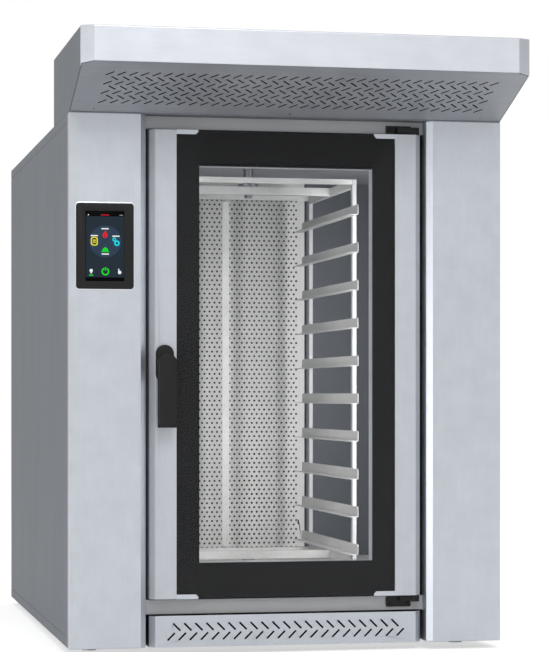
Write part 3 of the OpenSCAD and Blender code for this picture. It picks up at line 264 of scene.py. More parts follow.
def makeSteel(name, light, dark, roughness, cloud, streak, lineTone="fafafa", metallic=0.6, glance=0.6):
    material, tree, shader = startMaterial(name, light, roughness, metallic,
                                           Specular_Tint=(glance,) * 3 + (1,))
    clouds = addPattern(tree, cloud, *brushed["clouds"])
    streaks = addPattern(tree, streak, *brushed["streaks"])
    tones = blendTones(tree, clouds, dark, light)
    lines = blendTones(tree, streaks, lineTone, "ffffff")
    tree.links.new(multiplyTones(tree, tones, lines), shader.inputs["Base Color"])
    least, most = brushed["uneven"]
    tree.links.new(spread(tree, clouds, roughness + least, roughness + most), shader.inputs["Roughness"])
    addBump(tree, shader, streaks, brushed["depth"])
    return material


def makeGrainy(name, light, dark, roughness, size, bumpDepth, metallic=0.0, **sockets):
    material, tree, shader = startMaterial(name, light, roughness, metallic, **sockets)
    grain = addPattern(tree, (size, size, size), *grained["grain"])
    patches = addPattern(tree, grained["patchSize"], *grained["patches"])
    tones = blendTones(tree, patches, dark, light)
    specks = blendTones(tree, grain, grained["grainTone"], "ffffff")
    tree.links.new(multiplyTones(tree, tones, specks), shader.inputs["Base Color"])
    least, most = grained["uneven"]
    tree.links.new(spread(tree, patches, roughness + least, roughness + most), shader.inputs["Roughness"])
    addBump(tree, shader, grain, bumpDepth)
    return material


def makeGlass(name, colour, alpha):
    material, tree, shader = startMaterial(name, colour, smeared["roughness"], Alpha=alpha)
    smears = addPattern(tree, smeared["smearSize"], *smeared["smears"])
    tree.links.new(spread(tree, smears, *smeared["range"]), shader.inputs["Roughness"])
    return material


def makeEnamel(name, light, dark):
    material, tree, shader = startMaterial(name, light, enamelled["roughness"],
                                           Specular_IOR_Level=enamelled["gloss"])
    patches = addPattern(tree, enamelled["patchSize"], *enamelled["patches"])
    tree.links.new(blendTones(tree, patches, dark, light), shader.inputs["Base Color"])
    tree.links.new(spread(tree, patches, *enamelled["range"]), shader.inputs["Roughness"])
    return material


def makeLit(name, colour):                      # a glowing patch of the display
    material, tree, shader = startMaterial(name, display["body"], display["roughness"],
                                           Specular_IOR_Level=display["gloss"])
    dots = addPattern(tree, display["dotSize"], *display["dots"])
    tree.links.new(spread(tree, dots, *display["range"]), shader.inputs["Roughness"])
    return addGlow(material, colour)


finishes = {
    "front_steel": makeSteel("satinFrontSteel", "c2c6cd", "bbbfc6", 0.42, (24, 24, 24), (160, 160, 14),
                             "fcfcfc", 0.85),
    "fascia_steel": makeSteel("satinFasciaSteel", "d2d5dc", "cdd0d7", 0.38, (20, 20, 20), (14, 160, 160),
                              "fcfcfc", 0.95),
    # darker than the front steel: painted shade on the side panels; the brushing is their own
    "side_steel": makeSteel("brushedSideSteel", "868a90", "7b7f85", 0.5, (12, 12, 1.6), (90, 90, 2),
                            "f1f1f1", 0.5, 0.2),
    "inner_steel": makeSteel("satinInnerSteel", "a5a8ad", "9a9da4", 0.5, (9, 9, 9), (6, 110, 110),
                             "f6f6f6", 0.4),
    "cavity_steel": makeSteel("heatTintedCavitySteel", "d2d2d0", "cacac8", 0.5, (5, 5, 5), (100, 100, 4),
                              "f8f8f8", 0.15),
    "rack_steel": makeSteel("satinRackSteel", "dcdcdb", "d0d0ce", 0.36, (14, 14, 14), (150, 6, 150),
                            "f6f6f6", 0.3),
    "machined_steel": makeSteel("turnedSteel", "acaeb1", "989a9e", 0.28, (20, 20, 20), (30, 30, 260),
                                "f0f0f0", 0.9),
    "bronze": makeGrainy("sinteredBronze", "a07c3f", "86652f", 0.36, 900, 0.00003, 1.0),
    "heater": makeGrainy("oxidisedHeaterSheath", "5a4334", "3e2e25", 0.55, 500, 0.00005, 0.7),
    "motor_paint": makeGrainy("greyMotorEnamel", "43464a", "393c40", 0.42, 700, 0.00004),
    "black_plastic": makeGrainy("mattBlackPlastic", "131313", "0f0f0f", 0.40, 1800, 0.00003, 0.0,
                                Specular_IOR_Level=0.27),
    "black_paint": makeGrainy("satinBlackCoating", "171717", "101010", 0.40, 900, 0.00003, 0.0,
                              Specular_IOR_Level=0.25),
    "screen": makeGrainy("blackScreenGlass", "060708", "040405", 0.25, 60, 0.0, 0.0,
                         Specular_IOR_Level=0.03),
    "rubber": makeGrainy("blackSiliconeRubber", "161616", "101010", 0.62, 600, 0.00006, 0.0,
                         Specular_IOR_Level=0.15),
    "wool": makeGrainy("mineralWool", "d3c48f", "b9a96f", 0.95, 260, 0.0015),
    "clear_glass": makeGlass("clearToughenedGlass", "8d939b", 0.03),
    "lamp_glass": addGlow(makeGlass("frostedLampGlass", "f4f2ea", 0.85), **lampGlow),
    "border_enamel": makeEnamel("blackGlassEnamel", "212121", "1b1b1b"),
    "spacer_aluminium": makeSteel("anodisedSpacer", "d2d5db", "c8cbd2", 0.38, (12, 12, 12), (120, 6, 120),
                                  "f6f6f6", 0.4)}
# near black: painted shade on the back wall, fan wheels and heating elements seen through the diffuser's
# holes
chamberShadeSteel = makeSteel("paintedShadeChamberSteel", "1d1b19", "151312", 0.6, (6, 6, 6), (80, 80, 5), "eeeeee", 0.3)
# a darker copy of the cavity steel: painted shade on the cavity side walls and the diffuser wings
shadedSteel = makeSteel("paintedShadeWallSteel", "505358", "46494e", 0.5, (4, 4, 2), (90, 90, 3),
                        "f2f2f2", 0.5)
doorSteel = makeSteel("satinDoorSteel", "cdd1d8", "c7cbd2", 0.46, (24, 24, 24), (160, 160, 14),
                      "fcfcfc", 0.3)
# lighter than the inner steel, painted light on the crossmembers in the hood's shade; darker than the rack
# steel, painted shade on the rack posts
lightAndShadeSteel = makeSteel("satinLightAndShadeSteel", "b6b7b9", "adaeb1", 0.5, (9, 9, 9), (6, 110, 110),
                      "f8f8f8", 0.3)
slotSteel = makeSteel("slottedIntakeSteel", "a8abb0", "9da0a7", 0.5, (9, 9, 9), (6, 110, 110),
                      "f6f6f6", 0.4)
grilleSteel = makeSteel("slottedGrilleSteel", "bfc3ca", "b9bdc4", 0.42, (24, 24, 24), (14, 160, 160),
                        "fcfcfc", 0.8)


def intakePlane():                              # the slotted panel's lower edge, slope, outside and length
    low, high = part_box("hood_intake_panel")
    foot = Vector((0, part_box("left_pillar")[0].y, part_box("top_panel")[1].z))
    run = Vector((0, low.y, high.z)) - foot
    slant = run.normalized()
    return foot, slant, Vector((0, -slant.z, slant.y)), run.length


def shadeSlotWalls(material, outside):              # painted shade: the faces across the sheet, the walls of the slots, are darkened to stand in for the shade in the slots
    tree = material.node_tree
    shader = tree.nodes["Principled BSDF"]
    steel = shader.inputs["Base Color"].links[0].from_socket
    facing = addNode(tree, "ShaderNodeTexCoord")
    across = addNode(tree, "ShaderNodeVectorMath", {1: outside}, operation="DOT_PRODUCT")
    size = addNode(tree, "ShaderNodeMath", operation="ABSOLUTE")
    mix = addNode(tree, "ShaderNodeMix", {"A": fromScreen(slotShade["tone"])}, data_type="RGBA")
    tree.links.new(facing.outputs["Normal"], across.inputs[0])
    tree.links.new(across.outputs["Value"], size.inputs[0])
    onSheet = spread(tree, size.outputs[0], 0.0, 1.0, slotShade["from"], slotShade["to"])
    tree.links.new(onSheet, mix.inputs["Factor"])
    tree.links.new(steel, mix.inputs["B"])
    tree.links.new(mix.outputs["Result"], shader.inputs["Base Color"])


# painted shade in the slots of the intake panel and the grille
shadeSlotWalls(slotSteel, intakePlane()[2])
shadeSlotWalls(grilleSteel, Vector((0, -1, 0)))
ownFinish = {                                   # own finishes: painted shade on the chamber behind the diffuser, the cavity walls, wings, ceiling and rack posts, painted light on the crossmembers, a lighter steel on the door stiles, and painted shade in the slots
    "cavity_back_wall": chamberShadeSteel, "upper_fan_wheel": chamberShadeSteel, "lower_fan_wheel": chamberShadeSteel,
    "heating_elements": chamberShadeSteel, "diffuser_wings": shadedSteel, "cavity_side_walls": shadedSteel,
    "cavity_ceiling": finishes["inner_steel"], "left_stile": doorSteel, "right_stile": doorSteel,
    "crossmembers": lightAndShadeSteel, "rack_posts": lightAndShadeSteel, "hood_intake_panel": slotSteel,
    "vent_grille": grilleSteel}
print("oven: materials,", len(finishes), "finishes")

for part in frame["record"]["subparts"]:
    nodeMesh = frame["nodes"][part["node"]].data
    nodeMesh.materials.clear()
    nodeMesh.materials.append(ownFinish.get(part["node"], finishes[part["material_slot"]]))

fold = {"angle": 35, "flatWeight": 80}          # edges sharper than the angle are rounded
edgeWidths = {                                  # rounding of the frame's own edges in metres, and its steps
    "left_pillar": (0.0014, 3), "right_pillar": (0.0014, 3), "vent_grille": (0.0006, 2),
    "left_stile": (0.0018, 3), "right_stile": (0.0018, 3), "glass_clips": (0.0007, 2),
    "hood_fascia": (0.0024, 3), "hood_shell": (0.0009, 2), "diffuser_wings": (0.0006, 1),
    "side_panels": (0.0003, 1), "back_panel": (0.0005, 1),
    "top_panel": (0.0008, 2), "drive_cover": (0.0009, 2),
    "crossmembers": (0.0009, 2), "rack_posts": (0.0010, 2), "rack_top_frame": (0.0010, 2),
    "rack_bottom_frame": (0.0010, 2), "tray_stop": (0.0008, 2), "hinge_brackets": (0.0007, 2),
    "door_liner": (0.0012, 2), "window_spacer": (0.0008, 2), "outer_glass": (0.0008, 2),
    "inner_glass": (0.0008, 2), "door_seal": (0.0035, 4), "latch_keeper": (0.0012, 2),
    "handle_spindle": (0.0006, 2), "floor_pivot": (0.0008, 2), "rack_shaft": (0.0010, 2),
    "rack_bush": (0.0008, 2), "fan_motors": (0.0020, 3), "extractor_motor": (0.0020, 3),
    "rack_gearmotor": (0.0030, 3), "cavity_lamps": (0.0020, 3), "steam_vent": (0.0008, 2),
    "base_box": (0.0008, 1), "front_bulkhead": (0.0005, 1), "rear_fittings": (0.0008, 2)}


def roundEdges(nodeName, width, steps):         # the mesh itself is left alone
    node = frame["nodes"][nodeName]
    weld = node.modifiers.new("weld", "WELD")
    weld.merge_threshold = mergeGap
    bevel = node.modifiers.new("fold", "BEVEL")
    bevel.width, bevel.segments, bevel.limit_method = width, steps, "ANGLE"
    bevel.angle_limit, bevel.miter_outer = math.radians(fold["angle"]), "MITER_ARC"
    shade = node.modifiers.new("shade", "WEIGHTED_NORMAL")
    shade.weight, shade.keep_sharp = fold["flatWeight"], True


for nodeName, (width, steps) in edgeWidths.items():
    roundEdges(nodeName, width, steps)
print("oven: edges of", len(edgeWidths), "parts rounded")


def clearSelection():
    bpy.ops.object.select_all(action="DESELECT")


def pickUp(piece):
    clearSelection()
    piece.select_set(True)
    bpy.context.view_layer.objects.active = piece
    return piece


def nameNew(name):
    piece = bpy.context.object
    piece.name = piece.data.name = name
    bpy.ops.object.transform_apply(location=True, rotation=True, scale=True)
    return piece


def newBox(name, low, high):
    clearSelection()
    low, high = Vector(low), Vector(high)
    bpy.ops.mesh.primitive_cube_add(size=1, location=(low + high) / 2)
    bpy.context.object.scale = high - low
    return nameNew(name)


def newRod(name, centre, radius, length, axis="Z", sides=32):
    clearSelection()
    turns = {"X": (0, quarterTurn, 0), "Y": (quarterTurn, 0, 0), "Z": (0, 0, 0)}
    bpy.ops.mesh.primitive_cylinder_add(
        vertices=sides, radius=radius, depth=length, location=centre, rotation=turns[axis])
    return nameNew(name)


def editParts(piece, wanted, kind="FACE"):      # opens edit mode, the wanted faces, edges or points picked
    pickUp(piece)
    mesh = piece.data
    bpy.ops.object.mode_set(mode="EDIT")
    bpy.ops.mesh.select_mode(type=kind)
    bpy.ops.mesh.select_all(action="DESELECT")
    bpy.ops.object.mode_set(mode="OBJECT")
    if kind == "FACE":
        for face in mesh.polygons:
            face.select = wanted(face.center, face.normal)
    elif kind == "EDGE":
        for edge in mesh.edges:
            a, b = (mesh.vertices[i].co for i in edge.vertices)
            edge.select = wanted((a + b) / 2, (b - a).normalized())
    else:
        for point in mesh.vertices:
            point.select = wanted(point.co, point.normal)
    bpy.ops.object.mode_set(mode="EDIT")


def leaveEdit():
    bpy.ops.object.mode_set(mode="OBJECT")


def bevelEdges(piece, wanted, offset, segments):
    editParts(piece, wanted, "EDGE")
    bpy.ops.mesh.bevel(offset=offset, segments=segments, affect="EDGES")
    leaveEdit()


def applyModifier(piece, kind, **settings):
    pickUp(piece)
    bpy.ops.object.modifier_add(type=kind)
    modifier = piece.modifiers[-1]
    for key, value in settings.items():
        setattr(modifier, key, value)
    bpy.ops.object.modifier_apply(modifier=modifier.name)


def cutAway(piece, cutter):
    applyModifier(piece, "BOOLEAN", operation="DIFFERENCE", object=cutter, solver="EXACT")
    bpy.data.objects.remove(cutter)
    return piece


def softenEdges(piece, width, segments=2, angle=30):
    applyModifier(piece, "BEVEL", width=width, segments=segments, limit_method="ANGLE",
                  angle_limit=math.radians(angle))


def joinPieces(name, pieces):
    clearSelection()
    for piece in pieces:
        piece.select_set(True)
    bpy.context.view_layer.objects.active = pieces[0]
    if len(pieces) > 1:
        bpy.ops.object.join()
    piece = bpy.context.object
    piece.name = piece.data.name = name
    return piece


def placeCopies(piece, places):                 # each place is a matrix, and every copy has its own mesh
    copies = []
    for place in places:
        twin = piece.copy()
        twin.data = piece.data.copy()
        twin.data.transform(place)
        bpy.context.scene.collection.objects.link(twin)
        copies.append(twin)
    bpy.data.objects.remove(piece)
    return copies


def closeShell(piece):                          # joins doubled points and turns every face outwards
    pickUp(piece)
    bpy.ops.object.mode_set(mode="EDIT")
    bpy.ops.mesh.select_all(action="SELECT")
    bpy.ops.mesh.remove_doubles(threshold=0.00001)
    bpy.ops.mesh.normals_make_consistent(inside=False)
    leaveEdit()


def finishPiece(piece, material, body, slotName, *nodes, smoothAngle=35):
    pickUp(piece)
    bpy.ops.object.shade_smooth_by_angle(angle=math.radians(smoothAngle))
    piece.data.materials.clear()
    piece.data.materials.append(material)
    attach(piece, body)
    if nodes:
        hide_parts(*nodes)
    return piece


handle = {"thickness": 0.022, "topRound": 0.0205, "endSlope": 0.009, "edge": 0.0022, "hubRadius": 0.0195,
          "plateRound": 0.0202, "plateEdge": 0.0028, "roundSteps": 14, "near": 0.001}


def makeLever():
    low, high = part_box("handle_lever")
    back = low.y + handle["thickness"]
    paddle = newBox("lever", low, (high.x, back, high.z))
    near = handle["near"]
    bevelEdges(paddle, lambda centre, line: abs(line.y) > 0.9 and centre.z > high.z - near,
               handle["topRound"], handle["roundSteps"])
    bevelEdges(paddle, lambda centre, line: abs(line.x) > 0.9 and centre.z < low.z + near
               and centre.y < low.y + near, handle["endSlope"], 1)
    softenEdges(paddle, handle["edge"], 3, 25)
    middle = ((low.x + high.x) / 2, (back + high.y) / 2, high.z - (high.x - low.x) / 2)
    hub = newRod("hub", middle, handle["hubRadius"], high.y - back + 0.004, "Y", 48)
    softenEdges(hub, 0.0012, 2)
    lever = joinPieces("lever", [paddle, hub])
    finishPiece(lever, finishes["black_plastic"], "handle", "black_plastic", "handle_lever")


def makeLeverPlate():
    low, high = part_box("handle_plate")
    plate = newBox("leverPlate", low, high)
    bevelEdges(plate, lambda centre, line: abs(line.y) > 0.9, handle["plateRound"], handle["roundSteps"])
    bevelEdges(plate, lambda centre, line: centre.y < low.y + 0.0001, handle["plateEdge"], 3)
    finishPiece(plate, finishes["black_plastic"], "door", "black_plastic", "handle_plate")


makeLever()
makeLeverPlate()
print("oven: handle")

screen = {                                      # places and sizes on the display, from its middle
    "bezelRound": 0.0075, "bezelEdge": 0.0012, "layer": 0.00012, "trim": 0.0028, "trimHeight": 0.0012,
    "topBar": 0.0123, "bottomBar": 0.0086, "wheel": (0.0006, 0.0104), "wheelRadius": 0.0356,
    "divider": 0.0007, "iconSize": 0.0092, "labelSize": (0.0165, 0.0026), "labelRise": 0.0125,
    "icons": {"flame": (0.0, 0.0261), "book": (-0.024, 0.0104), "gears": (0.0245, 0.0097),
              "cloche": (0.0006, -0.008)},
    "power": (0.0008, -0.0569), "lamp": (-0.031, -0.0562), "hand": (0.0323, -0.0569)}
lit = {"slate": makeLit("litSlate", "232e38"), "wheel": makeLit("litWheel", "2f4053"),
       "bars": makeLit("litGrey", "7d8288"), "red": makeLit("litRed", "e0202c"),
       "yellow": makeLit("litYellow", "e8e02a"), "cyan": makeLit("litCyan", "1fd5e6"),
       "green": makeLit("litGreen", "12e01e"), "white": makeLit("litWhite", "f0f2f4")}
displayLow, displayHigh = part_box("screen_display")
displayMiddle = (displayLow + displayHigh) / 2
glowing = {tone: [] for tone in lit}


def onDisplay(x, z, level):                     # a point on the display, so many layers proud of it
    return Vector((displayMiddle.x + x, displayLow.y - level * screen["layer"], displayMiddle.z + z))


def barOn(tone, x, z, width, height, level=3, rounding=0.3):      # rounding as a share of the shorter side
    half = Vector((width / 2, 0, height / 2))
    low, high = onDisplay(x, z, level) - half, onDisplay(x, z, 0) + half
    bar = newBox("bar", low, high)
    bevelEdges(bar, lambda centre, line: abs(line.y) > 0.9, min(width, height) * rounding, 3)
    glowing[tone].append(bar)
    return bar


def discOn(tone, x, z, radius, level=3, sides=36):
    thick = level * screen["layer"]
    disc = newRod("disc", onDisplay(x, z, level / 2), radius, thick, "Y", sides)
    glowing[tone].append(disc)
    return disc


def ringOn(tone, x, z, radius, inner, level=3, sides=36):
    ring = discOn(tone, x, z, radius, level, sides)
    return cutAway(ring, newRod("hole", onDisplay(x, z, 0), inner, 0.01, "Y", sides))


def gearOn(tone, x, z, radius, inner, teeth):
    gear = ringOn(tone, x, z, radius * 0.8, inner, sides=teeth * 2)
    axis = onDisplay(x, z, 0)
    step = math.pi / teeth

    def isTooth(centre, normal):
        away = centre - axis
        turn = math.atan2(away.z, away.x) / step - 0.5
        outside = Vector((away.x, 0, away.z)).length > (inner + radius * 0.8) / 2
        return abs(normal.y) < 0.5 and outside and round(turn) % 2 == 0

    editParts(gear, isTooth)
    bpy.ops.mesh.extrude_faces_move(TRANSFORM_OT_shrink_fatten={"value": -radius * 0.2})
    leaveEdit()


def flameOn(tone, x, z, size):
    flame = discOn(tone, x, z - size * 0.25, size * 0.62, sides=28)
    tip = onDisplay(x, z - size * 0.25, 0)
    editParts(flame, lambda point, normal: point.z > tip.z + size * 0.35, "VERT")
    bpy.ops.transform.resize(value=(0.35, 1, 1), center_override=tip)
    bpy.ops.transform.translate(value=(size * 0.12, 0, size * 0.55))
    leaveEdit()
    cutAway(flame, newRod("heart", onDisplay(x, z - size * 0.42, 0), size * 0.22, 0.01, "Y", 20))


def clocheOn(tone, x, z, size):                 # a domed dish cover on its plate
    dome = discOn(tone, x, z - size * 0.3, size * 0.75)
    cut = onDisplay(x, z - size * 0.3, 0)
    cutAway(dome, newBox("lower", cut - Vector((0.02, 0.01, 0.02)), cut + Vector((0.02, 0.01, 0))))
    barOn(tone, x, z - size * 0.5, size * 1.9, size * 0.2)
    discOn(tone, x, z + size * 0.52, size * 0.13, sides=16)


def makeScreen():
    low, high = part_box("screen_bezel")
    bezel = newBox("screenBezel", low, high)
    bevelEdges(bezel, lambda centre, line: abs(line.y) > 0.9, screen["bezelRound"], 8)
    gap = Vector((0, 0.01, 0))
    cutAway(bezel, newBox("opening", displayLow - gap, displayHigh + gap))
    softenEdges(bezel, screen["bezelEdge"], 3)
    finishPiece(bezel, finishes["black_plastic"], "oven_body", "black_plastic", "screen_bezel")
    pane = newBox("screenGlass", displayLow, displayHigh)
    softenEdges(pane, 0.0004, 2)
    finishPiece(pane, finishes["screen"], "oven_body", "screen", "screen_display")
    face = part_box("left_pillar")[0].y           # a bright trim ring lies on the pillar round the bezel
    wide = Vector((screen["trim"], 0, screen["trim"]))
    trim = newBox("screenTrim", Vector((low.x, face - screen["trimHeight"], low.z)) - wide,
                  Vector((high.x, face + 0.0005, high.z)) + wide)
    bevelEdges(trim, lambda centre, line: abs(line.y) > 0.9, screen["bezelRound"] + screen["trim"], 8)
    cutAway(trim, newBox("middle", Vector((low.x, face - 0.01, low.z)) + wide,
                         Vector((high.x, face + 0.01, high.z)) - wide))
    softenEdges(trim, screen["trimHeight"] * 0.6, 2)
    finishPiece(trim, finishes["fascia_steel"], "oven_body", "fascia_steel")


def makeScreenPicture():
    width, height = displayHigh.x - displayLow.x, displayHigh.z - displayLow.z
    top, bottom = screen["topBar"], screen["bottomBar"]
    size = screen["iconSize"]
    barOn("slate", 0, (bottom - top) / 2, width - 0.001, height - top - bottom, 1, 0.005)
    wheelX, wheelZ = screen["wheel"]
    discOn("wheel", wheelX, wheelZ, screen["wheelRadius"], 2, 64)
    for turn in (-1, 1):
        strip = newBox("divider", onDisplay(-screen["wheelRadius"], -screen["divider"] / 2, 3),
                       onDisplay(screen["wheelRadius"], screen["divider"] / 2, 0))
        middle = onDisplay(0, 0, 0)
        spin = Matrix.Translation(onDisplay(wheelX, wheelZ, 0)) @ Matrix.Rotation(turn * math.pi / 4, 4, "Y")
        strip.data.transform(spin @ Matrix.Translation(-middle))
        glowing["slate"].append(strip)
    flameOn("red", *screen["icons"]["flame"], size)
    bookX, bookZ = screen["icons"]["book"]
    barOn("yellow", bookX, bookZ, size * 1.7, size * 2.1)
    barOn("slate", bookX, bookZ, size * 1.1, size * 1.6, 4)
    barOn("yellow", bookX, bookZ + size * 0.25, size * 0.7, size * 0.3, 5)
    barOn("yellow", bookX, bookZ - size * 0.25, size * 0.7, size * 0.3, 5)
    gearX, gearZ = screen["icons"]["gears"]
    gearOn("cyan", gearX - size * 0.4, gearZ + size * 0.55, size * 0.6, size * 0.2, 8)
    gearOn("cyan", gearX + size * 0.25, gearZ - size * 0.35, size * 0.85, size * 0.32, 9)
    clocheOn("green", *screen["icons"]["cloche"], size)
    for name, (x, z) in screen["icons"].items():
        rise = -screen["labelRise"] * 0.8 if name == "cloche" else screen["labelRise"]
        barOn("white", x, z + rise, *screen["labelSize"])
    powerX, powerZ = screen["power"]
    ring = ringOn("green", powerX, powerZ, size * 0.95, size * 0.62)
    notch = onDisplay(powerX, powerZ, 0)
    cutAway(ring, newBox("notch", notch - Vector((size * 0.3, 0.01, 0)),
                         notch + Vector((size * 0.3, 0.01, size * 1.2))))
    barOn("green", powerX, powerZ + size * 0.62, size * 0.26, size * 0.85)
    lampX, lampZ = screen["lamp"]
    discOn("white", lampX, lampZ + size * 0.12, size * 0.4)
    barOn("white", lampX, lampZ - size * 0.42, size * 0.36, size * 0.3)
    barOn("green", lampX, lampZ - size, size, size * 0.24)
    handX, handZ = screen["hand"]
    barOn("white", handX - size * 0.15, handZ + size * 0.25, size * 0.26, size * 0.9)
    discOn("white", handX + size * 0.08, handZ - size * 0.2, size * 0.42)
    marks = height / 2 - top * 0.75
    discOn("white", -width * 0.43, marks, 0.0013, 2, 16)
    barOn("red", 0, marks, 0.019, 0.0016, 2)
    barOn("bars", width * 0.42, marks, 0.008, 0.0022, 2)
    for tone, shapes in glowing.items():
        if shapes:
            shown = joinPieces("screen_" + tone, shapes)
            finishPiece(shown, lit[tone], "oven_body", "screen")


makeScreen()
makeScreenPicture()
print("oven: touch screen")

diffuser = {"holeRadius": 0.0031, "pitch": 0.0134, "rowPitch": 0.0118, "columns": 32, "rows": 83,
            "thickness": 0.002, "corner": (0.3, 0.2), "smoothAngle": 20}


def makeDiffuser():
    low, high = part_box("diffuser_panel")
    pitch, rowPitch, columns, rows = (diffuser[key] for key in ("pitch", "rowPitch", "columns", "rows"))
    start = Vector(((low.x + high.x) / 2 - (columns - 0.5) / 2 * pitch, low.y, (low.z + high.z) / 2
                    - (rows - 1) / 2 * rowPitch))
    clearSelection()
    bpy.ops.mesh.primitive_circle_add(vertices=8, radius=diffuser["holeRadius"], fill_type="NOTHING",
                                      location=start, rotation=(quarterTurn, 0, 0))
    cell = nameNew("diffuserSheet")
    editParts(cell, lambda point, normal: True, "VERT")
    bpy.ops.mesh.extrude_edges_move()
    grow = pitch / 2 / diffuser["holeRadius"]
    bpy.ops.transform.resize(value=(grow, 1, grow * rowPitch / pitch), center_override=start)
    leaveEdit()
    wide, tall = (pitch * share for share in diffuser["corner"])
    editParts(cell, lambda point, normal: abs(point.x - start.x) > wide and abs(point.z - start.z) > tall,
              "VERT")
    bpy.ops.transform.resize(value=(math.sqrt(2), 1, math.sqrt(2)), center_override=start)
    leaveEdit()
    applyModifier(cell, "ARRAY", count=columns, use_relative_offset=False, use_constant_offset=True,
                  constant_offset_displace=(pitch, 0, 0), use_merge_vertices=True, merge_threshold=0.0001)
    odd, even = placeCopies(cell, [Matrix.Identity(4), Matrix.Translation((pitch / 2, 0, rowPitch))])
    for row, count in ((odd, rows - rows // 2), (even, rows // 2)):
        applyModifier(row, "ARRAY", count=count, use_relative_offset=False, use_constant_offset=True,
                      constant_offset_displace=(0, 0, 2 * rowPitch))
    clearSelection()
    bpy.ops.mesh.primitive_plane_add(size=1, location=(0, low.y, (low.z + high.z) / 2),
                                     rotation=(quarterTurn, 0, 0))
    bpy.context.object.scale = (high.x - low.x, high.z - low.z, 1)
    rim = nameNew("rim")
    editParts(rim, lambda centre, normal: True)
    bpy.ops.mesh.delete(type="ONLY_FACE")
    leaveEdit()
    sheet = joinPieces("diffuserSheet", [odd, even, rim])
    pickUp(sheet)
    bpy.ops.object.mode_set(mode="EDIT")
    bpy.ops.mesh.select_mode(type="EDGE")
    bpy.ops.mesh.select_all(action="SELECT")
    bpy.ops.mesh.remove_doubles(threshold=0.0001)
    bpy.ops.mesh.select_all(action="DESELECT")
    bpy.ops.mesh.select_non_manifold(extend=False, use_wire=True, use_boundary=True, use_multi_face=False,
                                     use_non_contiguous=False, use_verts=False)
    leaveEdit()
    for edge in sheet.data.edges:               # the holes' own edges are short
        a, b = (sheet.data.vertices[i].co for i in edge.vertices)
        if (b - a).length < pitch / 4:
            edge.select = False
    bpy.ops.object.mode_set(mode="EDIT")
    bpy.ops.mesh.fill()
    bpy.ops.mesh.select_all(action="SELECT")
    bpy.ops.mesh.normals_make_consistent(inside=False)
    if sheet.data.polygons[0].normal.y > 0:
        bpy.ops.mesh.flip_normals()
    leaveEdit()
    applyModifier(sheet, "SOLIDIFY", thickness=diffuser["thickness"], offset=-1.0)
    finishPiece(sheet, finishes["cavity_steel"], "oven_body", "cavity_steel", "diffuser_panel",
                smoothAngle=diffuser["smoothAngle"])


makeDiffuser()
print("oven: air diffuser")

rail = {"thickness": 0.002, "ledge": 0.024, "height": 0.025, "cornerRound": 0.0055,
        "ledgeRound": 0.007, "fold": 0.0018}


def makeRails():
    low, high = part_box("tray_rails")
    levels = 10
    pitch = (high.z - low.z - rail["height"]) / (levels - 1)
    webX = high.x - rail["thickness"]
    first = newBox("trayRails", (webX + rail["thickness"] - rail["ledge"], low.y, low.z),
                   (high.x, high.y, low.z + rail["thickness"]))
    editParts(first, lambda centre, normal: True)
    bpy.ops.mesh.bisect(plane_co=(webX, 0, 0), plane_no=(1, 0, 0))
    leaveEdit()
    editParts(first, lambda centre, normal: normal.z > 0.9 and centre.x > webX)
    rise = rail["height"] - rail["thickness"]
    bpy.ops.mesh.extrude_region_move(TRANSFORM_OT_translate={"value": (0, 0, rise)})
    leaveEdit()

    def isEnd(centre):
        return centre.y < low.y + 0.0001 or centre.y > high.y - 0.0001

    bevelEdges(first, lambda centre, line: abs(line.x) > 0.9 and isEnd(centre) and centre.z > low.z + 0.01,
               rail["cornerRound"], 5)
    bevelEdges(first, lambda centre, line: abs(line.z) > 0.9 and isEnd(centre) and centre.x < webX - 0.01,
               rail["ledgeRound"], 5)
    bevelEdges(first, lambda centre, line: abs(line.y) > 0.9 and centre.x > high.x - 0.0001
               and centre.z < low.z + 0.0001, rail["fold"], 3)
    softenEdges(first, 0.0003, 1, 50)
    places = [Matrix.Translation((0, 0, i * pitch)) for i in range(levels)]
    right = joinPieces("trayRails", placeCopies(first, places))
    left = right.copy()
    left.data = right.data.copy()
    left.data.transform(mirrorX)
    bpy.context.scene.collection.objects.link(left)
    rails = joinPieces("trayRails", [right, left])
    closeShell(rails)
    finishPiece(rails, finishes["rack_steel"], "rack", "rack_steel", "tray_rails")


makeRails()
print("oven: tray rails")

# black mats behind the slots, a dark sheet put where there is only shade
shadeMatSize = {"gap": 0.005, "thickness": 0.002, "hoodMargin": 0.05, "grilleMargin": 0.012, "edge": 0.0006}
shadeMatBlack = makeGrainy("paintedShadeMat", "0e0e0e", "080808", 0.85, 1400, 0.0002, 0.0, Specular_IOR_Level=0.1)


def makeShadeMats():                              # dark mats right behind the slots of the hood and the grille: painted shade inside the hood and the grille
    low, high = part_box("hood_intake_panel")
    foot, slant, outwards, length = intakePlane()
    half = Vector(((high.x - low.x) / 2 - shadeMatSize["hoodMargin"], length / 2 - shadeMatSize["hoodMargin"],
                   shadeMatSize["thickness"] / 2))
    mat = newBox("hoodShadeMat", -half, half)
    softenEdges(mat, shadeMatSize["edge"], 2)
    middle = foot + slant * length / 2 - outwards * shadeMatSize["gap"]
    mat.data.transform(Matrix.Translation(middle) @ Matrix.Rotation(math.atan2(-slant.z, -slant.y), 4, "X"))
    finishPiece(mat, shadeMatBlack, "oven_body", "black_paint")
    low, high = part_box("vent_grille")
    front = low.y + shadeMatSize["gap"]
    inset = Vector((shadeMatSize["grilleMargin"], 0, shadeMatSize["grilleMargin"]))
    mat = newBox("grilleShadeMat", Vector((low.x, front, low.z)) + inset,
                 Vector((high.x, front + shadeMatSize["thickness"], high.z)) - inset)
    softenEdges(mat, shadeMatSize["edge"], 2)
    finishPiece(mat, shadeMatBlack, "oven_body", "black_paint")


makeShadeMats()
print("oven: shadeMats")

screw = {"radius": 0.0042, "height": 0.0022, "dome": 0.0013, "slot": 0.0009, "slotDepth": 0.0011,
         "backInset": 0.012}


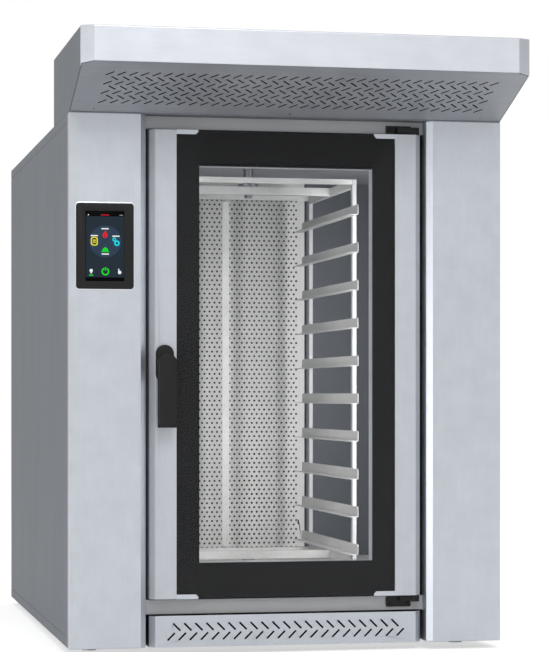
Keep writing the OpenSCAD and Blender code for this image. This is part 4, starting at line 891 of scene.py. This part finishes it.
def makeScrewHead():                            # at the origin, facing the front
    head = newRod("screwHead", (0, -screw["height"] / 2, 0), screw["radius"], screw["height"], "Y", 20)
    bevelEdges(head, lambda centre, line: centre.y < -screw["height"] * 0.9, screw["dome"], 3)
    reach = screw["radius"] * 0.6
    narrow = screw["slot"] / 2
    centre = Vector((0, -screw["height"], 0))
    for width, height in ((reach, narrow), (narrow, reach)):
        half = Vector((width, screw["slotDepth"], height))
        cutAway(head, newBox("recess", centre - half, centre + half))
    return head


def turnedTo(place, direction, scale=1.0):      # the front's direction turned to another one
    turn = Vector((0, -1, 0)).rotation_difference(Vector(direction)).to_matrix().to_4x4()
    return Matrix.Translation(Vector(place)) @ turn @ Matrix.Scale(scale, 4)


def addScrews(name, places, body, *nodes, finish="machined_steel"):
    heads = joinPieces(name, placeCopies(makeScrewHead(), places))
    finishPiece(heads, finishes[finish], body, finish, *nodes)


def evenly(low, high, count, margin):
    return [low + margin + (high - low - 2 * margin) * i / (count - 1) for i in range(count)]


def makeScrews():
    bracketLow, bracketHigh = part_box("hinge_brackets")
    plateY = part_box("crossmembers")[0].y - 0.003
    hinge = [(bracketLow.x + 0.009, bracketLow.z + 0.007), (bracketLow.x + 0.05, bracketLow.z + 0.007),
             (bracketLow.x + 0.009, bracketHigh.z - 0.009)]
    addScrews("screws_hinge", [turnedTo((x, plateY, z), (0, -1, 0)) for x, z in hinge], "oven_body",
              finish="black_paint")
    foot, slant, outwards, length = intakePlane()
    rise = foot + slant * 0.014
    slantScrews = [turnedTo((x, rise.y, rise.z), outwards, 0.7) for x in (-0.447, 0, 0.447)]
    addScrews("screws_front", slantScrews, "oven_body", "screws")
    backLow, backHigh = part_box("back_panel")
    inset = screw["backInset"]
    edges = [(x, z) for x in (backLow.x + inset, backHigh.x - inset)
             for z in evenly(backLow.z, backHigh.z, 8, 0.02)]
    edges += [(x, z) for z in (backLow.z + inset, backHigh.z - inset)
              for x in evenly(backLow.x, backHigh.x, 8, 0.13)]
    addScrews("screws_back", [turnedTo((x, backHigh.y, z), (0, 1, 0)) for x, z in edges], "oven_body")


makeScrews()
print("oven: screws")
